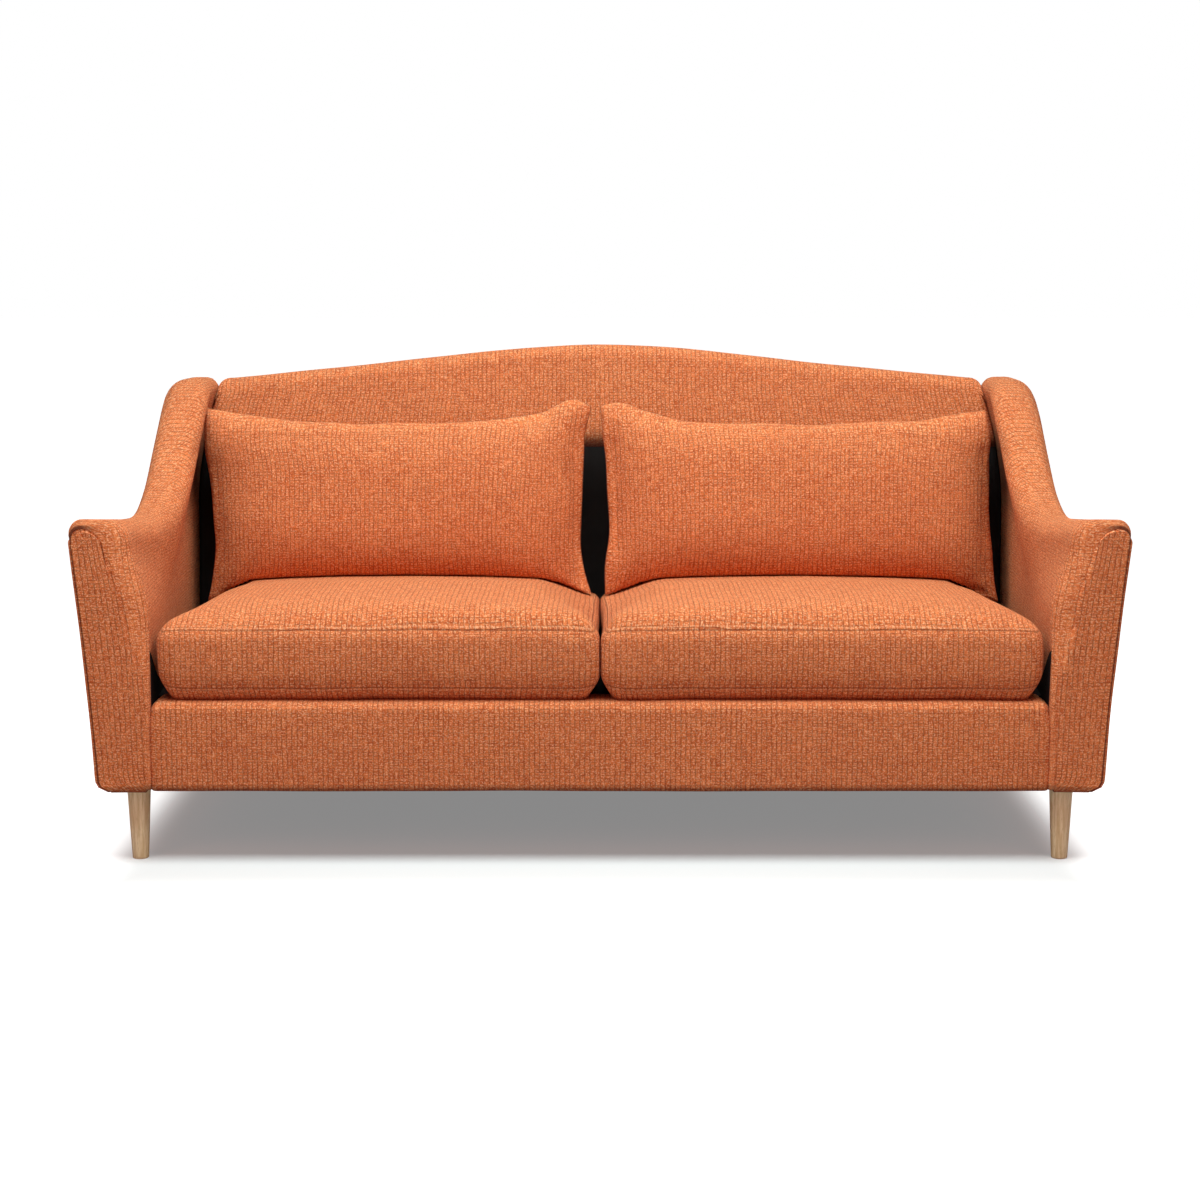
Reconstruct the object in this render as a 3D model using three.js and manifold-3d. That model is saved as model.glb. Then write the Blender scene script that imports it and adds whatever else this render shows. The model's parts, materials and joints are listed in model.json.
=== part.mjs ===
// Camelback sofa: two box seat cushions, two loose back pillows, swooping winged arms and tapered legs.
// Millimetres, +Z up, front towards -Y, origin on the floor under the centre of the sofa.
import * as THREE from 'three';
import { mergeVertices } from 'three/addons/utils/BufferGeometryUtils.js';
import Module from 'manifold-3d';

const wasm = await Module();
wasm.setup();

// Heights, stacked from the floor
const baseHeight = 144;
const seatRise = 164;
const armRise = 356;
const armDip = 28;
const wingRise = 250;
const shoulderDrop = 2;
const camelRise = 74;

// Clearances, and one overrun for every cut
const fitGap = 0.3;
const easeGap = 1.5;
const overrun = 40;

// Seat cushions
const seatWidth = 834;
const seatDepth = 757;
const seatMidGap = 8;
const seatSideGap = 8;
const seatRearGap = 18;
const seatFrontSetback = 5;
const seatTuck = 34;
const seatBoxing = 108;
const seatCrown = 47;
const seatCorner = 75;
const seatBulge = 8;
const seatDrawIn = 6;
const coverThickness = 8;
const coreGap = 1;

// Back pillows
const pillowShort = 10;
const pillowHeight = 372;
const pillowDepth = 190;
const pillowMidGap = 30;
const pillowSink = 22;
const pillowEdge = 5;
const pillowSideDrawIn = 13;
const pillowTopDrawIn = 24;

// Swooping arm: how wide it is, how it flares and narrows, and where it dips
const armBaseWidth = 112;
const armFlare = 42;
const armBaseTaper = 10;
const wingFlare = 2;
const armInnerSplay = 32;
const armFlareRun = 350;
const armInnerRun = 650;
const dipSetback = 280;
const wingInset = 10;
const armTopLeanOut = 34;
const wingTopLeanIn = 28;
const armLeanHeightFront = 180;
const armLeanHeightBack = 270;
const armOuterCornerFront = 20;
const armOuterCornerBack = 48;
const armInnerCornerFront = 42;
const armInnerCornerBack = 30;
const armNoseRadius = 45;
const armTopNoseRadius = 18;
const armEdgeRadius = 5;
const armBaseCorner = 22;
const armSkin = 12;
const armLip = 6;
const armFrontReturn = 26;
const armTuck = 50;
const outsideArmThickness = 3;

// Inside back and outside back
const backTopDepth = 59.46;
const backLeanDegrees = 6;
const backSkin = 12;
const backFrontCorner = 28;
const backRearCorner = 8;
const backCrown = 6;
const crestInset = 31;
const backEndRound = 25;
const backEndWall = 28;
const backPanelThickness = 4;

// Front rail cover
const railCoverSetback = 8;
const railCoverSkin = 10;
const railCoverTopSkin = 12;
const railCoverCorner = 12;
const railCoverFlange = 97;
const railCoverFoot = 17;

// Timber frame
const plyThickness = 20;
const seatRailLift = 9.7;
const seatRailInset = 7;
const stretcherWidth = 24;
const stretcherHeight = 92;
const boardThickness = 18;
const boardRise = 36;
const boardCorner = 50;
const boardHoleDiameter = 120;
const sideRailHeight = 120;
const postDrop = 170;
const postWidth = 28;
const postDepth = 30;
const backRailThickness = 18;
const backRailHeight = 90;
const backPostInset = 5;
const backPostDrop = 32;

// Legs, their blocks and bolts
const legSideInset = 10.4;
const frontLegInset = 11.4;
const rearLegInset = 20.1;
const legTopDiameter = 46;
const legFootDiameter = 31;
const legFootChamfer = 2;
const blockLift = 4;
const blockHeight = 57;
const blockWidth = 28;
const blockLength = 66;
const boltDiameter = 8;
const boltLength = 75;
const boltInLeg = 25;
const holeGap = 0.3;

// Springs, deck, webbing and dust cover
const springCount = 10;
const springEndInset = 81;
const springWire = 4;
const springHalfWidth = 24;
const springBars = 18;
const springArch = 10;
const deckThickness = 10;
const deckSideGap = 3;
const strapWidth = 50;
const strapThickness = 3;
const strapColumns = 9;
const strapRows = 4;
const dustThickness = 1;
const dustMargin = 18;

// Zips
const seatZipLength = 560;
const pillowZipLength = 380;
const zipSlot = 3;
const zipCutDepth = 32;
const sliderLength = 14;
const sliderWidth = 9;
const sliderDepth = 4;
const sliderTab = 26;
const tabRise = 1;

// Where things lie, worked out from the sizes above
const deckHeight = baseHeight + seatRise;
const armFrontHeight = deckHeight + armRise;
const armDipHeight = armFrontHeight - armDip;
const wingHeight = armDipHeight + wingRise;
const shoulderHeight = wingHeight - shoulderDrop;
const crestHeight = shoulderHeight + camelRise;
const backSetback = seatFrontSetback + seatDepth + seatRearGap;
const wingSetback = backSetback + wingInset;
const backLean = THREE.MathUtils.degToRad(backLeanDegrees);
const overallDepth = backSetback + (shoulderHeight - deckHeight) * Math.tan(backLean) + backTopDepth;
const frontY = -overallDepth / 2;
const rearY = overallDepth / 2;
const armInnerHalfFront = seatMidGap / 2 + seatWidth + seatSideGap;
const armInnerHalfBack = armInnerHalfFront + armInnerSplay;
const armBaseHalfFront = armInnerHalfFront + armBaseWidth;
const armBaseHalfBack = armBaseHalfFront - armBaseTaper;
const armTopHalfFront = armBaseHalfFront + armFlare;
const armTopHalfBack = armBaseHalfBack + wingFlare;
const crestHalf = armInnerHalfFront - crestInset;
const backCavityHalf = armInnerHalfFront - backEndWall;
const seatRailHalf = armBaseHalfBack - outsideArmThickness - seatRailInset;
const railFaceY = frontY + railCoverSetback;
const seatRailTop = deckHeight - railCoverTopSkin - fitGap;
const seatRailBottom = baseHeight + seatRailLift;
const frontRailY = railFaceY + railCoverSkin + fitGap + plyThickness / 2;
const rearPlaneY = rearY - backPanelThickness - fitGap;
const rearRailY = rearPlaneY - fitGap - plyThickness / 2 - plyThickness;
const railInnerFront = frontRailY + plyThickness / 2 + fitGap;
const railInnerRear = rearRailY - plyThickness / 2 - fitGap;
const sideRailX = seatRailHalf - plyThickness / 2;
const boardX = sideRailX - plyThickness / 2 - fitGap - boardThickness / 2;
const boardInnerX = boardX - boardThickness / 2 - fitGap;
const legHalfSpacing = boardInnerX - legSideInset;
const rearDepth = overallDepth - backPanelThickness - fitGap;
const postTop = armDipHeight - postDrop;
const backPostTop = shoulderHeight - backPostDrop;
const pillowWidth = seatWidth - pillowShort;

// Materials
const finishes = {
  cloth: new THREE.MeshStandardMaterial({ color: 0xcf7747, roughness: 0.92, metalness: 0 }),
  lining: new THREE.MeshStandardMaterial({ color: 0x1c1614, roughness: 0.95, metalness: 0 }),
  oak: new THREE.MeshStandardMaterial({ color: 0xd8b184, roughness: 0.55, metalness: 0 }),
  ply: new THREE.MeshStandardMaterial({ color: 0xc8a772, roughness: 0.75, metalness: 0 }),
  steel: new THREE.MeshStandardMaterial({ color: 0x8d9093, roughness: 0.4, metalness: 1 }),
  foam: new THREE.MeshStandardMaterial({ color: 0xeadfbe, roughness: 0.95, metalness: 0 }),
  webbing: new THREE.MeshStandardMaterial({ color: 0x4b4038, roughness: 0.9, metalness: 0 }),
};

const sofa = new THREE.Group();

function addPiece(name, geometry, finish, parent = sofa) {
  const mesh = new THREE.Mesh(geometry, finishes[finish]);
  mesh.name = name;
  parent.add(mesh);
  return mesh;
}

// Small helpers for easing, arcs and shares
const { clamp, lerp, smoothstep } = THREE.MathUtils;
const between = (a, b, share) => lerp(a, b, clamp(share, 0, 1));
const eased = (a, b, share) => lerp(a, b, smoothstep(share, 0, 1));

// How far a rounded edge of this radius stands back at a distance from its end
function nose(distance, radius) {
  if (distance >= radius) return 0;
  const reach = radius - Math.max(distance, 0);
  return radius - Math.sqrt(radius * radius - reach * reach);
}

// A smooth curve through evenly spaced values that is level at its start
function throughShares(values, share) {
  const place = clamp(share, 0, 1) * (values.length - 1);
  const index = Math.min(Math.floor(place), values.length - 2);
  const t = place - index;
  const a = index > 0 ? values[index - 1] : values[1];
  const b = values[index];
  const c = values[index + 1];
  const last = 2 * c - b;
  const d = index + 2 < values.length ? values[index + 2] : last;
  const bend = (d - a + 3 * (b - c)) * t + 2 * a - 5 * b + 4 * c - d;
  return b + (t * (c - a + t * bend)) / 2;
}

function quarterArc(centreU, centreV, radius, fromDegrees, toDegrees, steps) {
  const points = [];
  for (let i = 0; i <= steps; i += 1) {
    const angle = THREE.MathUtils.degToRad(lerp(fromDegrees, toDegrees, i / steps));
    points.push([centreU + radius * Math.cos(angle), centreV + radius * Math.sin(angle)]);
  }
  return points;
}

// Geometry from corner points and faces, turned so that its faces point out
function closedGeometry(corners, faces) {
  let volume = 0;
  for (const [a, b, c] of faces) {
    const cross = new THREE.Vector3().crossVectors(corners[b], corners[c]);
    volume += corners[a].dot(cross);
  }
  const indices = volume > 0 ? faces.flat() : faces.flatMap(([a, b, c]) => [a, c, b]);
  const geometry = new THREE.BufferGeometry();
  const numbers = corners.flatMap((corner) => corner.toArray());
  geometry.setAttribute('position', new THREE.Float32BufferAttribute(numbers, 3));
  geometry.setIndex(indices);
  return geometry;
}

// A closed body through rings of points, with flat ends whose outlines lie in the two named axes
function loft(rings, axes) {
  const count = rings[0].length;
  const corners = rings.flat();
  const faces = [];
  for (let ring = 0; ring < rings.length - 1; ring += 1) {
    for (let i = 0; i < count; i += 1) {
      const a = ring * count + i;
      const b = ring * count + ((i + 1) % count);
      faces.push([a, b, b + count], [a, b + count, a + count]);
    }
  }
  const flat = (ring) => ring.map((corner) => new THREE.Vector2(corner[axes[0]], corner[axes[1]]));
  const last = (rings.length - 1) * count;
  const startOutline = flat(rings[0]);
  const startTurns = THREE.ShapeUtils.isClockWise(startOutline);
  for (const [a, b, c] of THREE.ShapeUtils.triangulateShape(startOutline, [])) {
    faces.push(startTurns ? [a, b, c] : [a, c, b]);
  }
  const endOutline = flat(rings[rings.length - 1]);
  const endTurns = THREE.ShapeUtils.isClockWise(endOutline);
  for (const [a, b, c] of THREE.ShapeUtils.triangulateShape(endOutline, [])) {
    faces.push(endTurns ? [last + a, last + c, last + b] : [last + a, last + b, last + c]);
  }
  return closedGeometry(corners, faces);
}

// Booleans
function toSolid(geometry) {
  const bare = geometry.clone();
  bare.deleteAttribute('normal');
  bare.deleteAttribute('uv');
  const merged = mergeVertices(bare);
  return new wasm.Manifold(
    new wasm.Mesh({
      numProp: 3,
      vertProperties: new Float32Array(merged.attributes.position.array),
      triVerts: new Uint32Array(merged.index.array),
    }),
  );
}

function toGeometry(solid) {
  const mesh = solid.getMesh();
  const geometry = new THREE.BufferGeometry();
  geometry.setAttribute('position', new THREE.BufferAttribute(mesh.vertProperties, 3));
  geometry.setIndex(new THREE.BufferAttribute(mesh.triVerts, 1));
  return geometry;
}

function cutBy(geometry, ...cutters) {
  let solid = toSolid(geometry);
  for (const cutter of cutters) solid = solid.subtract(toSolid(cutter));
  return toGeometry(solid);
}

function joined(geometries) {
  let solid = toSolid(geometries[0]);
  for (const geometry of geometries.slice(1)) solid = solid.add(toSolid(geometry));
  return toGeometry(solid);
}

function mirrored(geometry) {
  const copy = geometry.clone();
  copy.scale(-1, 1, 1);
  const index = copy.index.array;
  const turned = new Uint32Array(index.length);
  for (let i = 0; i < index.length; i += 3) turned.set([index[i], index[i + 2], index[i + 1]], i);
  copy.setIndex(new THREE.BufferAttribute(turned, 1));
  return copy;
}

// A box by its lowest and highest corners
function boxBetween(low, high) {
  const size = high.map((value, axis) => value - low[axis]);
  const box = new THREE.BoxGeometry(...size);
  box.translate(...high.map((value, axis) => (value + low[axis]) / 2));
  return box;
}

// A flat outline in two axes, made as thick as asked along the third and centred there
function plate(outline, thickness, holes = []) {
  const shape = new THREE.Shape(outline.map(([u, v]) => new THREE.Vector2(u, v)));
  for (const hole of holes) shape.holes.push(new THREE.Path(hole.map(([u, v]) => new THREE.Vector2(u, v))));
  const geometry = new THREE.ExtrudeGeometry(shape, { depth: thickness, bevelEnabled: false });
  geometry.translate(0, 0, -thickness / 2);
  return geometry;
}

// The same outline standing in the plane of Y and Z, thick along X
function standingPlate(outline, thickness, holes = []) {
  const geometry = plate(outline, thickness, holes);
  geometry.applyMatrix4(new THREE.Matrix4().set(0, 0, 1, 0, 1, 0, 0, 0, 0, 1, 0, 0, 0, 0, 0, 1));
  return geometry;
}

function circlePoints(centreU, centreV, radius, steps) {
  return quarterArc(centreU, centreV, radius, 0, 360, steps).slice(1);
}

// The arm's swept form: depth is counted back from the arm's front face
const swoopPowerShare = 1.4;
const dipPowerShare = 1.2;
const flarePowerShare = 1.3;

function armTopAt(depth) {
  if (depth < dipSetback) {
    const share = (1 - Math.max(depth, 0) / dipSetback) ** dipPowerShare;
    return lerp(armDipHeight, armFrontHeight, share);
  }
  const rise = clamp((depth - dipSetback) / (wingSetback - dipSetback), 0, 1) ** swoopPowerShare;
  return eased(armDipHeight, wingHeight, rise);
}

// How far the arm's top has risen from the dip to the wing
function wingShare(depth) {
  const top = armTopAt(Math.max(depth, dipSetback));
  return (top - armDipHeight) / (wingHeight - armDipHeight);
}

function armOuterAt(depth, height) {
  const flare = clamp(depth / armFlareRun, 0, 1);
  const top = lerp(armTopHalfBack, armTopHalfFront, (1 - flare) ** 2);
  const base = between(armBaseHalfFront, armBaseHalfBack, depth / overallDepth);
  const reach = armTopAt(depth) - armOuterCornerFront - baseHeight;
  const share = clamp((height - baseHeight) / reach, 0, 1) ** flarePowerShare;
  return lerp(base, top, share) - nose(height - baseHeight, armBaseCorner);
}

function armInnerAt(depth, height) {
  const lower = eased(armInnerHalfFront, armInnerHalfBack, depth / armInnerRun);
  const leanShare = depth / (armInnerRun + armNoseRadius);
  const lean = eased(armTopLeanOut, -wingTopLeanIn, leanShare);
  const leanHeight = between(armLeanHeightFront, armLeanHeightBack, wingShare(depth));
  const top = armTopAt(depth);
  const corner = between(armInnerCornerFront, armInnerCornerBack, wingShare(depth));
  const share = (height - top + leanHeight) / (leanHeight - corner);
  return lower + lean * smoothstep(share, 0, 1);
}

// Ring of the arm's form at one depth, set in by a skin, or grown by a negative one
const armFaceShares = [0.22, 0.48, 0.74, 1];
const armBaseShares = [0, 0.2, 0.6, 1];
const armInnerShares = [0.12, 0.26, 0.42, 0.65, 1];

function armRing(depth, skin) {
  const distance = depth - skin;
  const bottom = baseHeight + skin;
  const top = armTopAt(depth) - nose(distance, armTopNoseRadius) - skin;
  const outerCorner = between(armOuterCornerFront, armOuterCornerBack, wingShare(depth)) - skin;
  const outer = (height) => armOuterAt(depth, height) - nose(distance, armEdgeRadius) - skin;
  const inner = (height) => armInnerAt(depth, height) + nose(distance, armNoseRadius) + skin;
  const outerSpring = top - outerCorner;
  const room = outer(outerSpring) - outerCorner - inner(top) - fitGap;
  const fullCorner = between(armInnerCornerFront, armInnerCornerBack, wingShare(depth)) - skin;
  const innerCorner = Math.min(fullCorner, room);
  const innerSpring = top - innerCorner;
  const outline = [];
  for (const share of armBaseShares) {
    const height = bottom + share * armBaseCorner;
    outline.push([outer(height), height]);
  }
  const faceFoot = bottom + armBaseCorner;
  for (const share of armFaceShares) {
    const height = lerp(faceFoot, outerSpring, share);
    outline.push([outer(height), height]);
  }
  const outerCentre = outer(outerSpring) - outerCorner;
  outline.push(...quarterArc(outerCentre, outerSpring, outerCorner, 0, 90, 3).slice(1));
  const innerCentre = inner(innerSpring) + innerCorner;
  outline.push(...quarterArc(innerCentre, innerSpring, innerCorner, 90, 180, 4));
  for (const share of armInnerShares) {
    const height = lerp(innerSpring, bottom, share);
    outline.push([inner(height), height]);
  }
  return outline.map(([x, z]) => new THREE.Vector3(x, frontY + depth, z));
}

// Depths along the arm: close together round the front nose and along the swoop
const noseAngles = [0, 20, 42, 66, 90];
const swoopShares = [0.12, 0.3, 0.45, 0.6, 0.7, 0.8, 0.9, 1];

function armDepths(first, last) {
  const depths = noseAngles.map((angle) => {
    return first + armNoseRadius * (1 - Math.cos(THREE.MathUtils.degToRad(angle)));
  });
  depths.push(dipSetback / 2, dipSetback);
  for (const share of swoopShares) depths.push(lerp(dipSetback, wingSetback, share));
  depths.push(last);
  return depths;
}

function armForm(skin) {
  const rings = armDepths(skin, rearDepth + (skin < 0 ? overrun : 0)).map((depth) => armRing(depth, skin));
  return loft(rings, ['x', 'z']);
}

// The hollow of the arm: open below, behind and on the outer side up to the lip
function armHollow() {
  const rings = armDepths(armSkin, rearDepth + overrun).map((depth) => {
    const ring = armRing(Math.max(depth, armSkin + armNoseRadius / 2), armSkin);
    const firstFace = armBaseShares.length + armFaceShares.length;
    const kept = ring.slice(firstFace).map((corner) => corner.setY(frontY + depth));
    const lipHeight = lipHeightAt(depth);
    const reach = armTopHalfFront + overrun;
    const inside = kept[0].x;
    const floor = baseHeight - overrun;
    kept[kept.length - 1].z = floor;
    const y = frontY + depth;
    return [
      new THREE.Vector3(reach, y, floor),
      new THREE.Vector3(reach, y, lipHeight),
      new THREE.Vector3(inside, y, lipHeight),
      ...kept,
    ];
  });
  return loft(rings, ['x', 'z']);
}

function lipHeightAt(depth) {
  const outerCorner = between(armOuterCornerFront, armOuterCornerBack, wingShare(depth));
  return armTopAt(depth) - outerCorner - armLip;
}

// Camel outline of the back: height of the top along half the width
const crestShares = [1, 0.905, 0.685, 0.44, 0.215, 0];

function crestAt(x, skin = 0) {
  const share = Math.abs(x) / crestHalf;
  const height = lerp(shoulderHeight, crestHeight, throughShares(crestShares, share));
  return height - nose(armInnerHalfFront - Math.abs(x), backEndRound) - skin;
}

const backFaceAt = (height) => frontY + backSetback + (height - deckHeight) * Math.tan(backLean);
const backFaceShares = [0.15, 0.4, 0.65, 0.88];

function backRing(x, skin, foot, rear) {
  const top = crestAt(x, skin);
  const frontCorner = backFrontCorner - skin;
  const spring = top - frontCorner;
  const outline = [[backFaceAt(foot) + skin, foot]];
  for (const share of backFaceShares) {
    const height = lerp(foot, spring, share);
    const crown = backCrown * Math.sin(Math.PI * share) * (skin > 0 ? 0 : 1);
    outline.push([backFaceAt(height) + skin - crown, height]);
  }
  const centre = backFaceAt(spring) + skin + frontCorner;
  outline.push(...quarterArc(centre, spring, frontCorner, 180, 90, 4));
  const rearCorner = skin > 0 ? 0 : backRearCorner;
  outline.push([rear - rearCorner, top], [rear, top - rearCorner], [rear, foot]);
  return outline.map(([y, z]) => new THREE.Vector3(x, y, z));
}

const backStationShares = [0, 0.1, 0.22, 0.34, 0.46, 0.58, 0.7, 0.82, 0.91, 0.96, 0.985];

function backStations(half, ends) {
  const right = backStationShares.map((share) => share * half).concat(ends);
  const left = right.slice(1).reverse().map((x) => -x);
  return left.concat(right);
}

const deckSeat = deckHeight + fitGap;
const grownArmRight = armForm(-easeGap);
const grownArmLeft = mirrored(grownArmRight);

// Timber seat frame
function longRail(y) {
  return boxBetween(
    [-seatRailHalf, y - plyThickness / 2, seatRailBottom],
    [seatRailHalf, y + plyThickness / 2, seatRailTop],
  );
}

function grownRail(y) {
  return boxBetween(
    [-seatRailHalf - fitGap, y - plyThickness / 2 - fitGap, seatRailBottom - fitGap],
    [seatRailHalf + fitGap, y + plyThickness / 2 + fitGap, seatRailTop + fitGap],
  );
}

function sideRail() {
  return boxBetween(
    [sideRailX - plyThickness / 2, railInnerFront, seatRailBottom],
    [sideRailX + plyThickness / 2, railInnerRear, seatRailBottom + sideRailHeight],
  );
}

function stretcher() {
  return boxBetween(
    [-stretcherWidth / 2, railInnerFront, seatRailBottom],
    [stretcherWidth / 2, railInnerRear, seatRailBottom + stretcherHeight],
  );
}

// Corner block with its bolt hole, in plan; side is the block's own way along Y from the rail
function cornerBlock(railY, side, legY) {
  const inner = boardInnerX - blockWidth;
  const start = railY + side * (plyThickness / 2 + fitGap);
  const outline = [
    [inner, start],
    [boardInnerX, start],
    [boardInnerX, start + side * blockLength],
    [inner + blockWidth / 2, start + side * blockLength],
    [inner, start + side * (blockLength - blockWidth / 2)],
  ];
  const hole = circlePoints(legHalfSpacing, legY, boltDiameter / 2 + holeGap, 10);
  const block = plate(outline, blockHeight, [hole]);
  block.translate(0, 0, baseHeight + blockLift + blockHeight / 2);
  return mergeVertices(stripped(block));
}

function stripped(geometry) {
  const bare = geometry.clone();
  bare.deleteAttribute('normal');
  bare.deleteAttribute('uv');
  return bare;
}

// Leg: turned taper with a chamfered foot and a blind hole for its bolt
const legTopHeight = baseHeight + blockLift - fitGap;
const legSwellShare = 0.53;
const legSwellHeightShare = 0.5;

function leg() {
  const topRadius = legTopDiameter / 2;
  const footRadius = legFootDiameter / 2;
  const holeRadius = boltDiameter / 2 + holeGap;
  const holeFloor = legTopHeight - boltInLeg - fitGap;
  const profile = [
    [0, 0],
    [footRadius - legFootChamfer, 0],
    [footRadius, legFootChamfer],
    [lerp(footRadius, topRadius, legSwellShare), legTopHeight * legSwellHeightShare],
    [topRadius, legTopHeight],
    [holeRadius, legTopHeight],
    [holeRadius, holeFloor],
    [0, holeFloor],
  ];
  return new THREE.LatheGeometry(profile.map(([r, z]) => new THREE.Vector2(r, z)), 16).rotateX(Math.PI / 2);
}

function bolt() {
  const radius = boltDiameter / 2;
  const tip = radius / 2;
  const profile = [
    [0, 0],
    [radius - tip / 2, 0],
    [radius, tip],
    [radius, boltLength - tip],
    [radius - tip / 2, boltLength],
    [0, boltLength],
  ];
  return new THREE.LatheGeometry(profile.map(([r, z]) => new THREE.Vector2(r, z)), 10).rotateX(Math.PI / 2);
}

addPiece('seat_rail_front', longRail(frontRailY), 'ply');
addPiece('seat_rail_back', longRail(rearRailY), 'ply');
addPiece('seat_rail_right', sideRail(), 'ply');
addPiece('seat_rail_left', mirrored(sideRail()), 'ply');
addPiece('seat_stretcher', stretcher(), 'ply');

const frontLegY = railInnerFront + frontLegInset;
const rearLegY = railInnerRear - rearLegInset;
for (const [end, railY, side, legY] of [
  ['front', frontRailY, 1, frontLegY],
  ['rear', rearRailY, -1, rearLegY],
]) {
  const block = cornerBlock(railY, side, legY);
  for (const [hand, sign] of [['right', 1], ['left', -1]]) {
    addPiece(`corner_block_${end}_${hand}`, sign > 0 ? block : mirrored(block), 'ply');
    addPiece(`leg_${end}_${hand}`, leg(), 'oak').position.set(sign * legHalfSpacing, legY, 0);
    const boltZ = legTopHeight - boltInLeg;
    addPiece(`leg_bolt_${end}_${hand}`, bolt(), 'steel').position.set(sign * legHalfSpacing, legY, boltZ);
  }
}

// Arm frame: a shaped board let over the rails, and a front post that stands on the front rail
const boardHoleShares = [0.3, 0.62];

function armBoard() {
  const first = armSkin + fitGap + boardRise / 2;
  const last = rearDepth - boardRise / 2;
  const frontNotch = railInnerFront - frontY;
  const rearNotch = railInnerRear - frontY;
  const notchTop = seatRailTop + fitGap;
  const along = armDepths(first, last).slice(noseAngles.length, -1);
  const outline = [first + boardCorner, ...along, last].map((depth) => {
    return [frontY + depth, armTopAt(depth) - boardRise];
  });
  outline.unshift([frontY + first, armTopAt(first) - boardRise - boardCorner]);
  outline.push(
    [frontY + last, notchTop],
    [frontY + rearNotch, notchTop],
    [frontY + rearNotch, seatRailBottom],
    [frontY + frontNotch, seatRailBottom],
    [frontY + frontNotch, notchTop],
    [frontY + first, notchTop],
  );
  const holeHeight = (seatRailTop + armDipHeight - boardRise) / 2;
  const holes = boardHoleShares.map((share) => {
    return circlePoints(lerp(frontY, rearY, share), holeHeight, boardHoleDiameter / 2, 12);
  });
  const board = standingPlate(outline, boardThickness, holes);
  board.translate(boardX, 0, 0);
  return mergeVertices(stripped(board));
}

function armPost() {
  const front = frontRailY - plyThickness / 2;
  return boxBetween(
    [boardInnerX - postWidth, front, seatRailTop + fitGap],
    [boardInnerX, front + postDepth, postTop],
  );
}

// Back frame: profile boards on the back rail, with the camel rail and lower rail on their sloping edges
const backFrameOrigin = new THREE.Vector3(0, frontY + backSetback, deckHeight);
const webFace = backSkin + fitGap;
const railFace = webFace + strapThickness + fitGap;
const postFace = railFace + backRailThickness + fitGap;
const leanAt = (height) => (height - deckHeight) / Math.cos(backLean);

function backPost(x, top) {
  const lowY = backFaceAt(seatRailTop) + postFace / Math.cos(backLean);
  const highY = backFaceAt(top) + postFace / Math.cos(backLean);
  const foot = seatRailTop + fitGap;
  const rear = rearPlaneY - backPostInset;
  const outline = [[lowY, foot], [rear, foot], [rear, top], [highY, top]];
  const post = standingPlate(outline, plyThickness);
  post.translate(x, 0, 0);
  return mergeVertices(stripped(post));
}

// Boards and webbing that lie in the sloping plane of the back, drawn in X and distance up the slope
function slopingPlate(outline, thickness, face, holes = []) {
  const geometry = plate(outline, thickness, holes);
  geometry.rotateX(Math.PI / 2);
  geometry.translate(0, face + thickness / 2, 0);
  return mergeVertices(stripped(geometry));
}

const backGroup = new THREE.Group();
backGroup.position.copy(backFrameOrigin);
backGroup.rotation.x = -backLean;
sofa.add(backGroup);

const backRailHalf = backCavityHalf - fitGap;
const camelRailShares = [-1, -0.8, -0.6, -0.4, -0.2, 0, 0.2, 0.4, 0.6, 0.8, 1];
const camelRailDrop = backFrontCorner + fitGap;

function camelRail() {
  const top = camelRailShares.map((share) => {
    const x = share * (backRailHalf - backEndRound / 2);
    return [x, leanAt(crestAt(x) - camelRailDrop)];
  });
  const under = camelRailShares.slice().reverse().map((share) => {
    const x = share * (backRailHalf - backEndRound / 2);
    return [x, leanAt(crestAt(x) - camelRailDrop) - backRailHeight];
  });
  return slopingPlate(top.concat(under), backRailThickness, railFace);
}

const lowerRailFoot = leanAt(deckHeight) + plyThickness;

function lowerRail() {
  const half = backRailHalf - backEndRound / 2;
  const top = lowerRailFoot + backRailHeight;
  const outline = [[-half, lowerRailFoot], [half, lowerRailFoot], [half, top], [-half, top]];
  return slopingPlate(outline, backRailThickness, railFace);
}

function webbing() {
  const half = backRailHalf - backEndRound;
  const foot = lowerRailFoot;
  const top = leanAt(shoulderHeight - camelRailDrop) - strapWidth / 2;
  const straps = [];
  for (let column = 0; column < strapColumns; column += 1) {
    const left = lerp(-half, half - strapWidth, column / (strapColumns - 1));
    straps.push(boxBetween([left, webFace, foot], [left + strapWidth, webFace + strapThickness, top]));
  }
  for (let row = 0; row < strapRows; row += 1) {
    const low = lerp(foot, top - strapWidth, row / (strapRows - 1));
    straps.push(boxBetween([-half, webFace, low], [half, webFace + strapThickness, low + strapWidth]));
  }
  return joined(straps);
}

for (const [hand, turn] of [['right', (shape) => shape], ['left', mirrored]]) {
  addPiece(`arm_board_${hand}`, turn(armBoard()), 'ply');
  addPiece(`arm_front_post_${hand}`, turn(armPost()), 'ply');
  const postX = backCavityHalf - fitGap - plyThickness / 2;
  addPiece(`back_post_${hand}`, turn(backPost(postX, backPostTop)), 'ply');
}
addPiece('back_upright', backPost(0, backPostTop), 'ply');
addPiece('back_top_rail', camelRail(), 'ply', backGroup);
addPiece('back_lower_rail', lowerRail(), 'ply', backGroup);
addPiece('back_webbing', webbing(), 'webbing', backGroup);

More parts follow.
